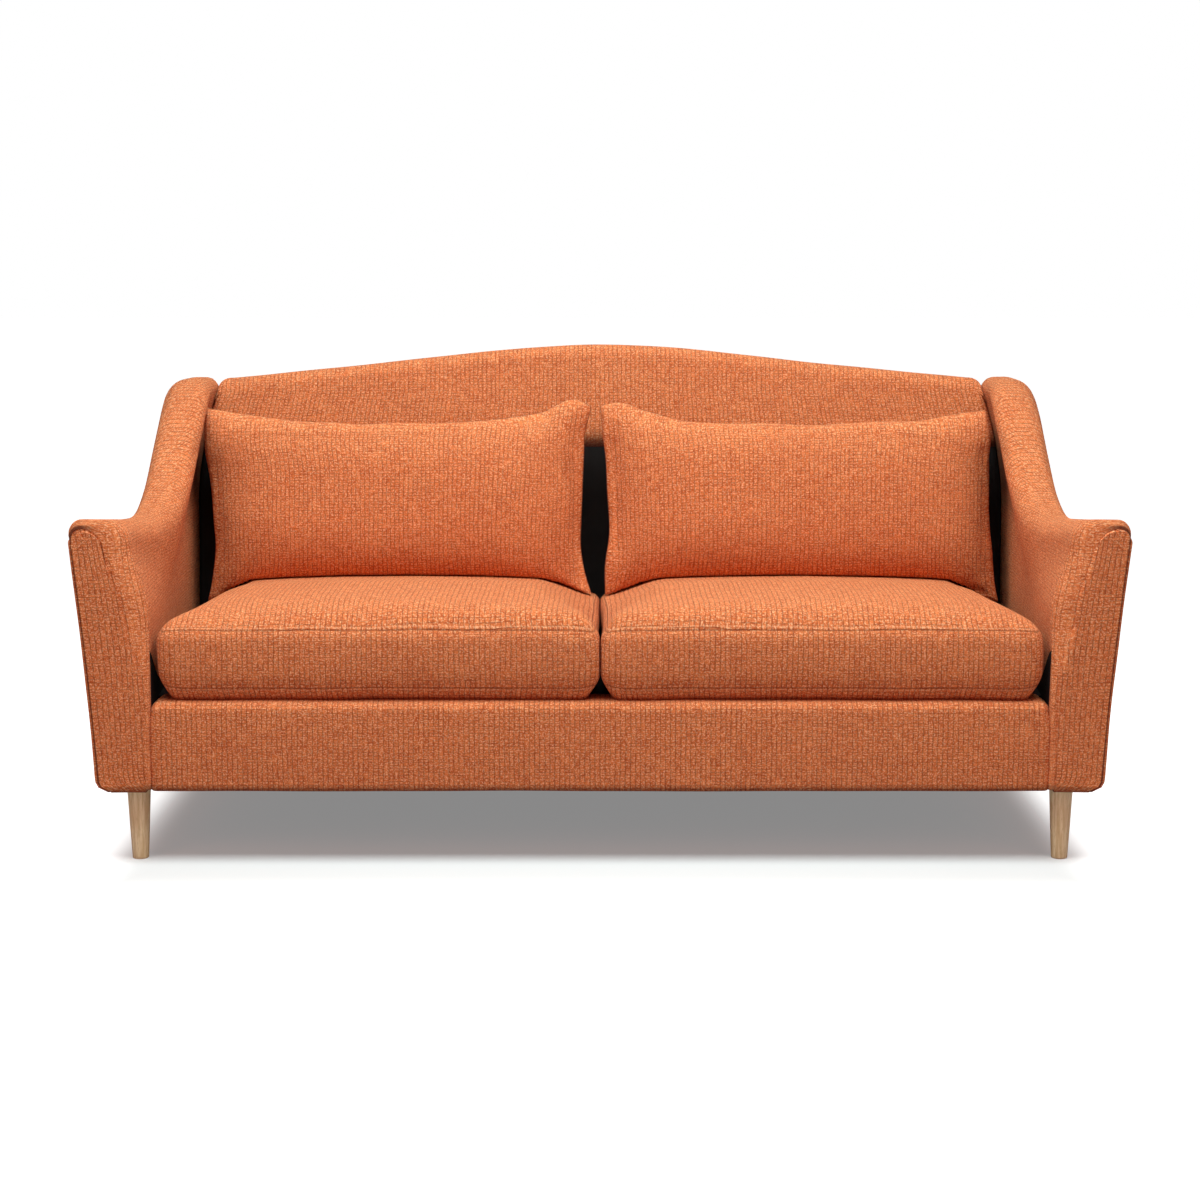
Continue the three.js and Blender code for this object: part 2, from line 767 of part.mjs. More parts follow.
// Serpentine spring: square-sided wire with mitred bends, arched up to the deck
function seatSpring(x) {
  const half = springWire / 2;
  const run = railInnerRear - railInnerFront;
  const pitch = (run - springWire) / springBars;
  const places = [];
  for (let bar = 0; bar <= springBars; bar += 1) {
    const y = railInnerFront + half + bar * pitch;
    const side = bar % 2 === 0 ? springHalfWidth : -springHalfWidth;
    places.push(new THREE.Vector2(x - side, y), new THREE.Vector2(x + side, y));
  }
  const apex = deckHeight - deckThickness - fitGap - half;
  const leftOf = (a, b) => new THREE.Vector2(a.y - b.y, b.x - a.x).normalize().multiplyScalar(half);
  const rings = places.map((place, index) => {
    const offset = new THREE.Vector2();
    if (index > 0) offset.add(leftOf(places[index - 1], place));
    if (index < places.length - 1) offset.add(leftOf(place, places[index + 1]));
    const share = (place.y - railInnerFront) / run;
    const z = apex - springArch * (2 * share - 1) ** 2;
    const left = place.clone().add(offset);
    const right = place.clone().sub(offset);
    return [
      new THREE.Vector3(left.x, left.y, z - half),
      new THREE.Vector3(right.x, right.y, z - half),
      new THREE.Vector3(right.x, right.y, z + half),
      new THREE.Vector3(left.x, left.y, z + half),
    ];
  });
  return loft(rings, ['y', 'z']);
}

for (let index = 0; index < springCount; index += 1) {
  const half = armInnerHalfFront - springEndInset;
  const x = lerp(-half, half, index / (springCount - 1));
  addPiece(`seat_spring_${index + 1}`, seatSpring(x), 'steel');
}

// Black platform cloth with its pad, from the front rail cover back under the inside back
const flangeEndY = railFaceY + railCoverFlange;
const deckRearY = backFaceAt(deckHeight) + backSkin;

function seatDeck() {
  const front = flangeEndY + fitGap;
  const edge = (y) => armInnerAt(y - frontY, deckHeight) - deckSideGap;
  const right = [[edge(front), front], [edge(deckRearY), deckRearY]];
  const left = right.slice().reverse().map(([x, y]) => [-x, y]);
  const deck = plate(right.concat(left), deckThickness);
  deck.translate(0, 0, deckHeight - deckThickness / 2);
  return mergeVertices(stripped(deck));
}

function dustCover() {
  const halfX = armBaseHalfBack - dustMargin;
  const front = frontY + dustMargin;
  const rear = rearY - dustMargin;
  const outline = [[-halfX, front], [halfX, front], [halfX, rear], [-halfX, rear]];
  const holes = [];
  for (const y of [frontLegY, rearLegY]) {
    for (const sign of [-1, 1]) {
      holes.push(circlePoints(sign * legHalfSpacing, y, legTopDiameter / 2 + easeGap, 16));
    }
  }
  const cover = plate(outline, dustThickness, holes);
  cover.translate(0, 0, baseHeight - fitGap - dustThickness / 2);
  return mergeVertices(stripped(cover));
}

addPiece('seat_deck', seatDeck(), 'lining');
addPiece('dust_cover', dustCover(), 'lining');

// Arm cover: its inside face stops below the seat, where the cloth is tucked away behind the front return
function belowTuck() {
  return boxBetween(
    [armInnerHalfFront - overrun, frontY + armFrontReturn, baseHeight - overrun],
    [armInnerHalfBack + overrun, rearY + overrun, deckHeight - armTuck],
  );
}

const railPassages = [grownRail(frontRailY), grownRail(rearRailY)];
const armCover = cutBy(armForm(0), armHollow(), belowTuck(), ...railPassages);
addPiece('arm_cover_right', armCover, 'cloth');
addPiece('arm_cover_left', mirrored(armCover), 'cloth');

// Outside arm panel, fitted below the lip of the arm cover
const outsideFaceShares = [0.25, 0.5, 0.75, 1];

function outsideArm() {
  const depths = armDepths(armSkin, rearDepth).slice(noseAngles.length);
  const first = armSkin + fitGap;
  const rings = [first, first + armFlareRun / 6, ...depths].map((depth) => {
    const top = lipHeightAt(depth) - fitGap;
    const faceFoot = baseHeight + armBaseCorner;
    const heights = armBaseShares.map((share) => baseHeight + share * armBaseCorner);
    heights.push(...outsideFaceShares.map((share) => lerp(faceFoot, top, share)));
    const y = frontY + depth;
    const outside = heights.map((z) => new THREE.Vector3(armOuterAt(depth, z), y, z));
    const inside = outside.map((corner) => corner.clone().setX(corner.x - outsideArmThickness));
    return outside.concat(inside.reverse());
  });
  return loft(rings, ['x', 'z']);
}

addPiece('outside_arm_right', outsideArm(), 'cloth');
addPiece('outside_arm_left', mirrored(outsideArm()), 'cloth');

// Front rail cover: a folded padded strip, fitted between the arms
function frontRailCover() {
  const front = railFaceY;
  const inner = front + railCoverSkin;
  const ceiling = deckHeight - railCoverTopSkin;
  const corner = railCoverCorner;
  const outline = [
    [flangeEndY, deckHeight],
    ...quarterArc(front + corner, deckHeight - corner, corner, 90, 180, 4),
    [front, baseHeight + armEdgeRadius],
    [front + armEdgeRadius, baseHeight],
    [front + railCoverFoot, baseHeight],
    [front + railCoverFoot, seatRailBottom - fitGap],
    [inner, seatRailBottom - fitGap],
    [inner, ceiling],
    [flangeEndY, ceiling],
  ];
  const strip = standingPlate(outline, 2 * (armInnerHalfFront + overrun));
  return cutBy(mergeVertices(stripped(strip)), armForm(-fitGap), mirrored(armForm(-fitGap)));
}

addPiece('front_rail_cover', frontRailCover(), 'cloth');

// Inside back: the camel form less its hollow, fitted between the wings
function insideBackCover() {
  const outer = backStations(armInnerHalfFront, [armInnerHalfFront, armInnerHalfFront + overrun]);
  const form = outer.map((x) => backRing(x, 0, deckSeat, rearPlaneY));
  const hollow = backStations(backCavityHalf, [backCavityHalf]).map((x) => {
    return backRing(x, backSkin, deckSeat - overrun, rearPlaneY + overrun);
  });
  const cutters = [loft(hollow, ['y', 'z']), grownArmRight, grownArmLeft];
  return cutBy(loft(form, ['y', 'z']), ...cutters);
}

addPiece('inside_back_cover', insideBackCover(), 'cloth');

// Outside back: one panel with the outline of both wings and the crest
function outsideBackPanel() {
  const wingEdge = armRing(rearDepth, 0).slice(0, armBaseShares.length + armFaceShares.length + 3);
  const side = wingEdge.map((corner) => [corner.x, corner.z]);
  const across = backStationShares.slice().reverse().map((share) => {
    const x = share * armInnerHalfFront;
    return [x, crestAt(x)];
  });
  const right = side.concat([[armInnerHalfBack, wingHeight]], across);
  const left = right.slice(0, -1).reverse().map(([x, z]) => [-x, z]);
  const panel = plate(right.concat(left), backPanelThickness);
  panel.rotateX(Math.PI / 2);
  panel.translate(0, rearY - backPanelThickness / 2, 0);
  return mergeVertices(stripped(panel));
}

addPiece('outside_back_panel', outsideBackPanel(), 'cloth');

// Seat cushion: rings from the flat bottom over the boxing to the crown, as insets and heights
const tuckRings = [[46, 0], [20, 0.16], [6, 0.55], [0, 1]];
const boxingRings = [[0.72, 0.22], [1, 0.5], [0.72, 0.78]];
const crownRings = [[0.06, 0], [0.22, 0.4], [0.5, 0.7], [1.1, 0.92], [2, 1]];

function cushionOutline(halfWidth, halfDepth, corner, drawIn, cornerSteps, sideSteps) {
  const points = [];
  const quarter = [[1, 1, 0], [-1, 1, 90], [-1, -1, 180], [1, -1, 270]];
  for (const [signX, signY, angle] of quarter) {
    const centreX = signX * (halfWidth - corner);
    const centreY = signY * (halfDepth - corner);
    points.push(...quarterArc(centreX, centreY, corner, angle, angle + 90, cornerSteps));
    const alongX = angle % 180 === 0;
    for (let i = 1; i < sideSteps; i += 1) {
      const share = i / sideSteps;
      const draw = drawIn * Math.sin(Math.PI * share);
      const x = alongX ? lerp(centreX, -centreX, share) : signX * (halfWidth - draw);
      const y = alongX ? signY * (halfDepth - draw) : lerp(centreY, -centreY, share);
      points.push([x, y]);
    }
  }
  return points;
}

function seatForm(skin, cornerSteps, sideSteps, plain) {
  const halfWidth = seatWidth / 2 - seatBulge - skin;
  const halfDepth = seatDepth / 2 - seatBulge - skin;
  const low = skin;
  const topSeam = seatTuck + seatBoxing;
  const rings = [];
  const addRing = (inset, z) => {
    const corner = Math.max(seatCorner - skin - inset / 4, seatCorner / 2);
    const halves = [halfWidth - inset, halfDepth - inset];
    const outline = cushionOutline(...halves, corner, seatDrawIn, cornerSteps, sideSteps);
    rings.push(outline.map(([x, y]) => new THREE.Vector3(x, y, z)));
  };
  for (const [inset, share] of plain ? tuckRings.filter((ring, index) => index !== 1) : tuckRings) {
    addRing(inset, lerp(low, seatTuck, share));
  }
  for (const [bulge, share] of plain ? boxingRings.slice(1, 2) : boxingRings) {
    addRing(-bulge * seatBulge, seatTuck + share * seatBoxing);
  }
  for (const [inset, share] of plain ? crownRings.filter((ring, index) => index !== 1) : crownRings) {
    addRing(inset * seatCorner, topSeam - skin + share * seatCrown);
  }
  return loft(rings, ['x', 'y']);
}

// Pillow: knife-edged, its sides drawn in between slightly pointed corners
const pillowFullShare = 0.55;

function pillowHalfDepth(u, v, skin) {
  const full = ((1 - u ** 4) * (1 - v ** 4)) ** pillowFullShare;
  const edge = Math.max(pillowEdge - skin / 2, fitGap);
  return lerp(edge, pillowDepth / 2 - skin, full);
}

function pillowForm(skin, columns, rows) {
  const halfWidth = pillowWidth / 2 - skin;
  const halfHeight = pillowHeight / 2 - skin;
  const spread = (i, count) => Math.sin((Math.PI / 2) * ((2 * i) / count - 1));
  const corners = [];
  const faces = [];
  const place = (side, i, j) => {
    const u = spread(i, columns);
    const v = spread(j, rows);
    const x = u * (halfWidth - pillowSideDrawIn * (1 - v * v));
    const z = v * (halfHeight - pillowTopDrawIn * (1 - u * u));
    return new THREE.Vector3(x, side * pillowHalfDepth(u, v, skin), z);
  };
  const at = (side, i, j) => (side > 0 ? 1 : 0) * (columns + 1) * (rows + 1) + i * (rows + 1) + j;
  for (const side of [-1, 1]) {
    for (let i = 0; i <= columns; i += 1) {
      for (let j = 0; j <= rows; j += 1) corners.push(place(side, i, j));
    }
  }
  for (let i = 0; i < columns; i += 1) {
    for (let j = 0; j < rows; j += 1) {
      const quad = [[i, j], [i + 1, j], [i + 1, j + 1], [i, j + 1]];
      const front = quad.map(([a, b]) => at(-1, a, b));
      const rear = quad.map(([a, b]) => at(1, a, b)).reverse();
      faces.push([front[0], front[1], front[2]], [front[0], front[2], front[3]]);
      faces.push([rear[0], rear[1], rear[2]], [rear[0], rear[2], rear[3]]);
    }
  }
  const rim = [];
  for (let i = 0; i < columns; i += 1) rim.push([[i, 0], [i + 1, 0]], [[i + 1, rows], [i, rows]]);
  for (let j = 0; j < rows; j += 1) rim.push([[columns, j], [columns, j + 1]], [[0, j + 1], [0, j]]);
  for (const [[a, b], [c, d]] of rim) {
    const [p, q, r, s] = [at(-1, a, b), at(1, a, b), at(1, c, d), at(-1, c, d)];
    faces.push([p, q, r], [p, r, s]);
  }
  return closedGeometry(corners, faces);
}

// Places of the loose cushions, right-hand pair
const seatCentreX = seatMidGap / 2 + seatWidth / 2;
const seatCentreY = frontY + seatFrontSetback + seatDepth / 2;
const seatRearY = seatCentreY + seatDepth / 2;
const seatMatrix = new THREE.Matrix4().makeTranslation(seatCentreX, seatCentreY, deckHeight + fitGap);
const seatTopZ = deckHeight + fitGap + seatTuck + seatBoxing + seatCrown;
const pillowCentreX = pillowMidGap / 2 + pillowWidth / 2;
const pillowCentreZ = seatTopZ - pillowSink + (pillowHeight / 2) * Math.cos(backLean);
const pillowSeatGap = backCrown + fitGap + pillowDepth / 2;
const pillowCentreY = backFaceAt(pillowCentreZ) - pillowSeatGap / Math.cos(backLean);
const pillowMatrix = new THREE.Matrix4()
  .makeTranslation(pillowCentreX, pillowCentreY, pillowCentreZ)
  .multiply(new THREE.Matrix4().makeRotationX(-backLean));

// Zips: one slot in the rear boxing of each seat cover, one low in the rear face of each pillow cover
const seatZipTravel = seatZipLength - sliderLength - 2 * fitGap;
const pillowZipTravel = pillowZipLength - sliderLength - 2 * fitGap;
const zipZ = deckHeight + fitGap + seatTuck + seatBoxing / 2;
const pillowZipShare = 0.7;
const pillowZipHeight = -pillowZipShare * (pillowHeight / 2 - pillowTopDrawIn);
const pillowZipFullest = (pillowZipHeight + sliderWidth / 2) / (pillowHeight / 2 - pillowTopDrawIn);
const pillowZipFace = pillowHalfDepth(0, pillowZipFullest, 0);

function zipCut(length, x, y, z) {
  return boxBetween(
    [x - length / 2, y - zipCutDepth, z - zipSlot / 2],
    [x + length / 2, y + overrun, z + zipSlot / 2],
  );
}

// Slider: a body outside the cover, a neck in the slot and a pull tab lying along the zip
function zipSlider(x, y, z) {
  const neck = coverThickness;
  const face = y + fitGap;
  const body = boxBetween(
    [x - sliderLength / 2, face, z - sliderWidth / 2],
    [x + sliderLength / 2, face + sliderDepth, z + sliderWidth / 2],
  );
  const stem = boxBetween(
    [x - sliderLength / 2, y - neck, z - zipSlot / 2 + fitGap],
    [x + sliderLength / 2, face + sliderDepth / 2, z + zipSlot / 2 - fitGap],
  );
  const tab = boxBetween(
    [x, face + sliderDepth / 2, z - sliderWidth / 4],
    [x + sliderTab, face + sliderDepth + tabRise, z + sliderWidth / 4],
  );
  return joined([body, stem, tab]);
}

const seatShell = seatForm(0, 4, 3, false).applyMatrix4(seatMatrix);
const seatHollow = seatForm(coverThickness, 3, 2, true).applyMatrix4(seatMatrix);
const seatCore = seatForm(coverThickness + coreGap, 3, 2, true).applyMatrix4(seatMatrix);
const seatCover = cutBy(seatShell, seatHollow, zipCut(seatZipLength, seatCentreX, seatRearY, zipZ));
const seatSlider = zipSlider(seatCentreX - seatZipTravel / 2, seatRearY, zipZ);

// Pillows settle on the seat cushions, so their feet are flat where they rest
function belowPillow(rise) {
  const reach = pillowWidth + overrun;
  return boxBetween([-reach, -overallDepth, 0], [2 * reach, overallDepth, seatTopZ + fitGap + rise]);
}

const pillowPart = (skin, columns, rows) => pillowForm(skin, columns, rows).applyMatrix4(pillowMatrix);
const pillowHollow = cutBy(pillowPart(coverThickness, 10, 6), belowPillow(coverThickness));
const coreSkin = coverThickness + coreGap;
const pillowCore = cutBy(pillowPart(coreSkin, 10, 6), belowPillow(coreSkin));
const pillowSlot = zipCut(pillowZipLength, 0, pillowZipFace, pillowZipHeight).applyMatrix4(pillowMatrix);
const pillowCover = cutBy(pillowPart(0, 14, 10), pillowHollow, pillowSlot, belowPillow(0));
const pillowSlider = zipSlider(-pillowZipTravel / 2, pillowZipFace, pillowZipHeight);
pillowSlider.applyMatrix4(pillowMatrix);

for (const [hand, turn] of [['right', (shape) => shape], ['left', mirrored]]) {
  addPiece(`seat_cushion_cover_${hand}`, turn(seatCover), 'cloth');
  addPiece(`seat_cushion_core_${hand}`, turn(seatCore), 'foam');
  addPiece(`seat_zip_slider_${hand}`, turn(seatSlider), 'steel');
  addPiece(`back_cushion_cover_${hand}`, turn(pillowCover), 'cloth');
  addPiece(`back_cushion_pad_${hand}`, turn(pillowCore), 'foam');
  addPiece(`back_zip_slider_${hand}`, turn(pillowSlider), 'steel');
}

export default sofa;
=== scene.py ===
"""Camelback sofa: upholstery, cushions, legs and studio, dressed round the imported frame. Metres, +Z up."""
import json
import math
from collections import namedtuple

import bmesh
import bpy
import numpy as np
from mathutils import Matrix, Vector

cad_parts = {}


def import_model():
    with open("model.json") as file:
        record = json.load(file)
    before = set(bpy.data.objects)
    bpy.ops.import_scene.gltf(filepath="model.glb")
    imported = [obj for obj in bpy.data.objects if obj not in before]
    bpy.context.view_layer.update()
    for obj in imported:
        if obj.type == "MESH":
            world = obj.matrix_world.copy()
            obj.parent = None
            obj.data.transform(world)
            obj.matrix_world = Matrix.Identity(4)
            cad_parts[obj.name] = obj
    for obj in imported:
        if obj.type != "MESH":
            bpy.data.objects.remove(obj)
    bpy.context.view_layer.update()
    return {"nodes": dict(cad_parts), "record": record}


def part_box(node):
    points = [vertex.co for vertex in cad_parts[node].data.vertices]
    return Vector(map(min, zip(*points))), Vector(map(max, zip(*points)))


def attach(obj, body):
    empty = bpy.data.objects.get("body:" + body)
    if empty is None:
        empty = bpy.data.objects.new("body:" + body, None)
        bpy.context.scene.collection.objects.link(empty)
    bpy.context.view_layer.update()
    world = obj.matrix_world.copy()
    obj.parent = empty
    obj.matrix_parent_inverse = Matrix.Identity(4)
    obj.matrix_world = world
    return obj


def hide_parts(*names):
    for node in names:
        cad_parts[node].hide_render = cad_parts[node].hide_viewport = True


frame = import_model()
scene = bpy.context.scene

# Driving sizes of the form, as in the part
BASE = 0.144
DECK = 0.308
FRONT_Y = -0.450
REAR_Y = 0.450
PANEL = 0.004
FIT = 0.0003

ARM_FRONT_TOP = 0.664
ARM_DIP_TOP = 0.636
WING_TOP = 0.886
DIP_SETBACK = 0.280
WING_SETBACK = 0.790
DIP_POWER = 1.2
RISE_POWER = 1.4
FLARE_POWER = 1.3
INNER_FRONT = 0.856
INNER_BACK = 0.894
INNER_RUN = 0.650
BASE_HALF_FRONT = 0.958
BASE_HALF_BACK = 0.948
TOP_HALF_FRONT = 1.000
TOP_HALF_BACK = 0.950
FLARE_RUN = 0.350
TOP_LEAN_OUT = 0.034
WING_LEAN_IN = 0.044
LEAN_HEIGHT_FRONT = 0.180
LEAN_HEIGHT_BACK = 0.270
OUTER_CORNER_FRONT = 0.020
OUTER_CORNER_BACK = 0.048
INNER_CORNER_FRONT = 0.042
INNER_CORNER_BACK = 0.030
NOSE_RADIUS = 0.045
LOW_NOSE_RADIUS = 0.010
LOW_NOSE_TOP = 0.330
HIGH_NOSE_FOOT = 0.500
TOP_NOSE_RADIUS = 0.018
EDGE_RADIUS = 0.0035
BASE_CORNER = 0.022
WING_LEAN_POWER = 1.8
ARM_SKIN = 0.012
LIP = 0.006
REAR_DEPTH = REAR_Y - FRONT_Y - PANEL - FIT

SHOULDER = 0.884
CREST = 0.958
CREST_HALF = 0.815
CREST_SHARES = (1, 0.905, 0.685, 0.44, 0.215, 0)
BACK_HALF = 0.846
CREST_END_ROUND = 0.025
BACK_SETBACK = 0.780
BACK_LEAN = math.radians(6)
BACK_CORNER = 0.028
BACK_REAR_CORNER = 0.008
BACK_CROWN = 0.006

GRID = 0.009
CLOTH_THICKNESS = 0.004
WELD = 0.00002
SIDE_GAP = 0.0015
SEAM_FAR = 0.02
# Reach and strength of the painted shade along the covers' bottom edges
BOTTOM_SHADE_REACH = 0.008
BOTTOM_SHADE = 0.75


# Curves and easing
def eased(a, b, share):
    share = np.clip(share, 0, 1)
    return a + (b - a) * share * share * (3 - 2 * share)


def between(a, b, share):
    return a + (b - a) * np.clip(share, 0, 1)


def paired(*parts):
    """Coordinates side by side in a last axis."""
    return np.stack(parts, -1)


def nose(distance, radius):
    """How far an edge of this radius stands back at a distance from its end."""
    reach = np.clip(radius - distance, 0, radius)
    return radius - np.sqrt(np.maximum(radius * radius - reach * reach, 0))


def quarter(count):
    """Angles spread over a quarter turn."""
    return np.linspace(0, math.pi / 2, count)


def closing(radius, count):
    """Distances from an edge, close together where it turns."""
    return radius * (1 - np.cos(quarter(count)))


def through(heights, share):
    """A smooth curve through evenly spaced heights that is level at its start."""
    heights = np.asarray(heights, float)
    place = np.clip(share, 0, 1) * (len(heights) - 1)
    index = np.minimum(np.floor(place).astype(int), len(heights) - 2)
    t = place - index
    a = np.where(index > 0, heights[np.maximum(index - 1, 0)], heights[1])
    b, c = heights[index], heights[index + 1]
    d = np.where(index + 2 < len(heights), heights[np.minimum(index + 2, len(heights) - 1)], 2 * c - b)
    bend = (d - a + 3 * (b - c)) * t + 2 * a - 5 * b + 4 * c - d
    return b + t * (c - a + t * bend) / 2


def nosed_stations(first, last, radius, step, ends):
    """Places along a run, close together where its front edge and its end turn."""
    turn = first + closing(radius, 12)
    count = max(int((last - ends - turn[-1]) / step), 2)
    run = np.linspace(turn[-1], last - ends, count + 1)[1:]
    return np.concatenate([turn, run, last - ends * np.cos(quarter(5))[1:]])


def both_ways(half, turn, inner, outer):
    """Places from one end to the other of a width, close together at both ends."""
    right = np.concatenate([np.linspace(0, half - turn, inner), (half - closing(turn, outer)[::-1])[1:]])
    return np.concatenate([-right[:0:-1], right])


def joined_runs(points):
    """Distance run along a row of points."""
    steps = np.linalg.norm(np.diff(points, axis=0), axis=1)
    return np.concatenate([[0], np.cumsum(steps)])


def coons(left, right, low, high):
    """A grid between four edges: left and right run up, low and high run across."""
    s = np.linspace(0, 1, len(low))[None, :, None]
    t = np.linspace(0, 1, len(left))[:, None, None]
    across = left[:, None] * (1 - s) + right[:, None] * s
    up = low[None] * (1 - t) + high[None] * t
    feet = left[0] * (1 - s) * (1 - t) + right[0] * s * (1 - t)
    return across + up - (feet + left[-1] * (1 - s) * t + right[-1] * s * t)


# The arm's form; depth is counted back from the arm's front
def arm_top(depth):
    fall = np.clip(1 - depth / DIP_SETBACK, 0, 1) ** DIP_POWER
    dip = ARM_DIP_TOP + (ARM_FRONT_TOP - ARM_DIP_TOP) * fall
    rise = np.clip((depth - DIP_SETBACK) / (WING_SETBACK - DIP_SETBACK), 0, 1) ** RISE_POWER
    return np.where(depth < DIP_SETBACK, dip, eased(ARM_DIP_TOP, WING_TOP, rise))


def wing_share(depth):
    return (arm_top(np.maximum(depth, DIP_SETBACK)) - ARM_DIP_TOP) / (WING_TOP - ARM_DIP_TOP)


def arm_outer(depth, height):
    flare = np.clip(depth / FLARE_RUN, 0, 1)
    top = TOP_HALF_BACK + (TOP_HALF_FRONT - TOP_HALF_BACK) * (1 - flare) ** 2
    base = between(BASE_HALF_FRONT, BASE_HALF_BACK, depth / (REAR_Y - FRONT_Y))
    reach = arm_top(depth) - OUTER_CORNER_FRONT - BASE
    share = np.clip((height - BASE) / reach, 0, 1) ** FLARE_POWER
    return base + (top - base) * share - nose(height - BASE, BASE_CORNER)


def arm_inner(depth, height):
    wing = wing_share(depth)
    lower = eased(INNER_FRONT, INNER_BACK, depth / INNER_RUN)
    lean = eased(TOP_LEAN_OUT, -WING_LEAN_IN, depth / (INNER_RUN + NOSE_RADIUS))
    lean_height = between(LEAN_HEIGHT_FRONT, LEAN_HEIGHT_BACK, wing)
    corner = between(INNER_CORNER_FRONT, INNER_CORNER_BACK, wing)
    rise = np.clip((height - arm_top(depth) + lean_height) / (lean_height - corner), 0, 1)
    return lower + lean * ((1 - wing) * eased(0, 1, rise) + wing * rise ** WING_LEAN_POWER)


def nose_radius(height):
    """The front turn is soft beside the seat and tight against the rail."""
    return eased(LOW_NOSE_RADIUS, NOSE_RADIUS, (height - LOW_NOSE_TOP) / (HIGH_NOSE_FOOT - LOW_NOSE_TOP))


def crest_at(x):
    shape = through(CREST_SHARES, np.abs(x) / CREST_HALF)
    return SHOULDER + (CREST - SHOULDER) * shape - nose(BACK_HALF - np.abs(x), CREST_END_ROUND)


def back_face(height):
    return FRONT_Y + BACK_SETBACK + (height - DECK) * math.tan(BACK_LEAN)


# Meshes: reading, moving and finishing them
def store(mesh, label, numbers):
    """Keeps a number for each point of the mesh."""
    data = mesh.attributes.new(label, "FLOAT", "POINT").data
    data.foreach_set("value", np.asarray(numbers, np.float32))


def stored(mesh, label):
    flat = np.zeros(len(mesh.vertices), np.float32)
    mesh.attributes[label].data.foreach_get("value", flat)
    return flat.astype(float)


def coordinates(mesh):
    flat = np.zeros(len(mesh.vertices) * 3, np.float32)
    mesh.vertices.foreach_get("co", flat)
    return flat.reshape(-1, 3).astype(float)


def set_coordinates(mesh, points):
    mesh.vertices.foreach_set("co", points.astype(np.float32).ravel())
    mesh.update()


def placed(name, data):
    made = bpy.data.objects.new(name, data)
    scene.collection.objects.link(made)
    return made


def settle(piece):
    """Applies every modifier on the piece."""
    graph = bpy.context.evaluated_depsgraph_get()
    graph.update()
    fresh = bpy.data.meshes.new_from_object(
        piece.evaluated_get(graph), preserve_all_data_layers=True, depsgraph=graph
    )
    piece.modifiers.clear()
    piece.data = fresh


def thick(piece, thickness):
    """Gives a sheet its thickness behind its face and keeps the result."""
    modifier = piece.modifiers.new("thickness", "SOLIDIFY")
    modifier.thickness = thickness
    modifier.offset = -1
    settle(piece)
    piece.data.set_sharp_from_angle(angle=math.radians(55))
    return piece


def finished(piece, slot, body, *nodes):
    """Gives a piece the material of its slot and the body it rides on, and hides the nodes it stands for."""
    piece.data.materials.clear()
    piece.data.materials.append(MATERIALS[slot])
    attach(piece, body)
    if nodes:
        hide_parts(*nodes)
    return piece


def fixed(piece, node, thickness=CLOTH_THICKNESS, slot="cloth"):
    """Finishes a sheet that stays on the frame."""
    return finished(thick(piece, thickness), slot, "sofa_frame", node)


def ripple(points, seed, size, height):
    """Soft unevenness of hand-laid padding: a few waves in fixed random directions."""
    draw = np.random.default_rng(seed)
    total = np.zeros(len(points))
    for _ in range(7):
        way = draw.normal(size=3)
        way /= np.linalg.norm(way)
        length = size * draw.uniform(0.6, 1.6)
        total += np.sin(points @ way * (2 * math.pi / length) + draw.uniform(0, 2 * math.pi))
    return total * height / 2.6


def press(piece, seed, size, height):
    """Moves a surface along its normals by the soft unevenness."""
    mesh = piece.data
    normals = np.zeros(len(mesh.vertices) * 3, np.float32)
    mesh.vertex_normals.foreach_get("vector", normals)
    points = coordinates(mesh)
    set_coordinates(mesh, points + normals.reshape(-1, 3) * ripple(points, seed, size, height)[:, None])


# Painted shade along a cover's bottom edge, darkest at the base
def painted_bottom_shade(height):
    return BOTTOM_SHADE * eased(1, 0, (height - BASE) / BOTTOM_SHADE_REACH)


class Sewing:
    """Patches, each a grid of points with its own weave coordinates, welded into one mesh.

    On side -1 it sews the mirrored piece.
    """

    def __init__(self, side=1):
        self.side, self.count = side, 0
        self.points, self.faces, self.uvs = [], [], []
        self.marks = {"seam": [], "stitch": [], "u": [], "v": []}

    def patch(self, points, uv, seam=SEAM_FAR, stitch=0.0, flip=False, around=False):
        if self.side < 0:
            points, flip = points * (-1.0, 1.0, 1.0), not flip
        rows, columns = shape = points.shape[:2]
        index = np.arange(rows * columns).reshape(shape) + self.count
        if around:
            index = np.concatenate([index, index[:, :1]], 1)
        quads, corner_uv = (
            np.stack([grid[:-1, :-1], grid[:-1, 1:], grid[1:, 1:], grid[1:, :-1]], 2) for grid in (index, uv)
        )
        quads, corner_uv = quads.reshape(-1, 4), corner_uv.reshape(-1, 4, 2)
        if flip:
            quads, corner_uv = quads[:, ::-1], corner_uv[:, ::-1]
        marks = seam, stitch, np.linspace(-1, 1, rows)[:, None], np.linspace(-1, 1, columns)
        for kept, given in zip(self.marks.values(), marks):
            kept.append(np.broadcast_to(given, shape).reshape(-1))
        self.points.append(points.reshape(-1, 3))
        self.faces.append(quads)
        self.uvs.append(corner_uv)
        self.count += rows * columns

    def piece(self, name):
        mesh = bpy.data.meshes.new(name)
        mesh.from_pydata(np.concatenate(self.points).tolist(), [], np.concatenate(self.faces).tolist())
        layer = mesh.uv_layers.new(name="weave")
        layer.uv.foreach_set("vector", np.concatenate(self.uvs).astype(np.float32).ravel())
        for label, kept in self.marks.items():
            store(mesh, label, np.concatenate(kept))
        shape = bmesh.new()
        shape.from_mesh(mesh)
        bmesh.ops.remove_doubles(shape, verts=shape.verts, dist=WELD)
        bmesh.ops.dissolve_degenerate(shape, edges=shape.edges, dist=WELD)
        shape.to_mesh(mesh)
        shape.free()
        mesh.shade_smooth()
        return placed(name, mesh)


def sheet(name, points, uv, side=1, **ways):
    """A piece sewn from one patch."""
    sewing = Sewing(side)
    sewing.patch(points, uv, **ways)
    return sewing.piece(name)


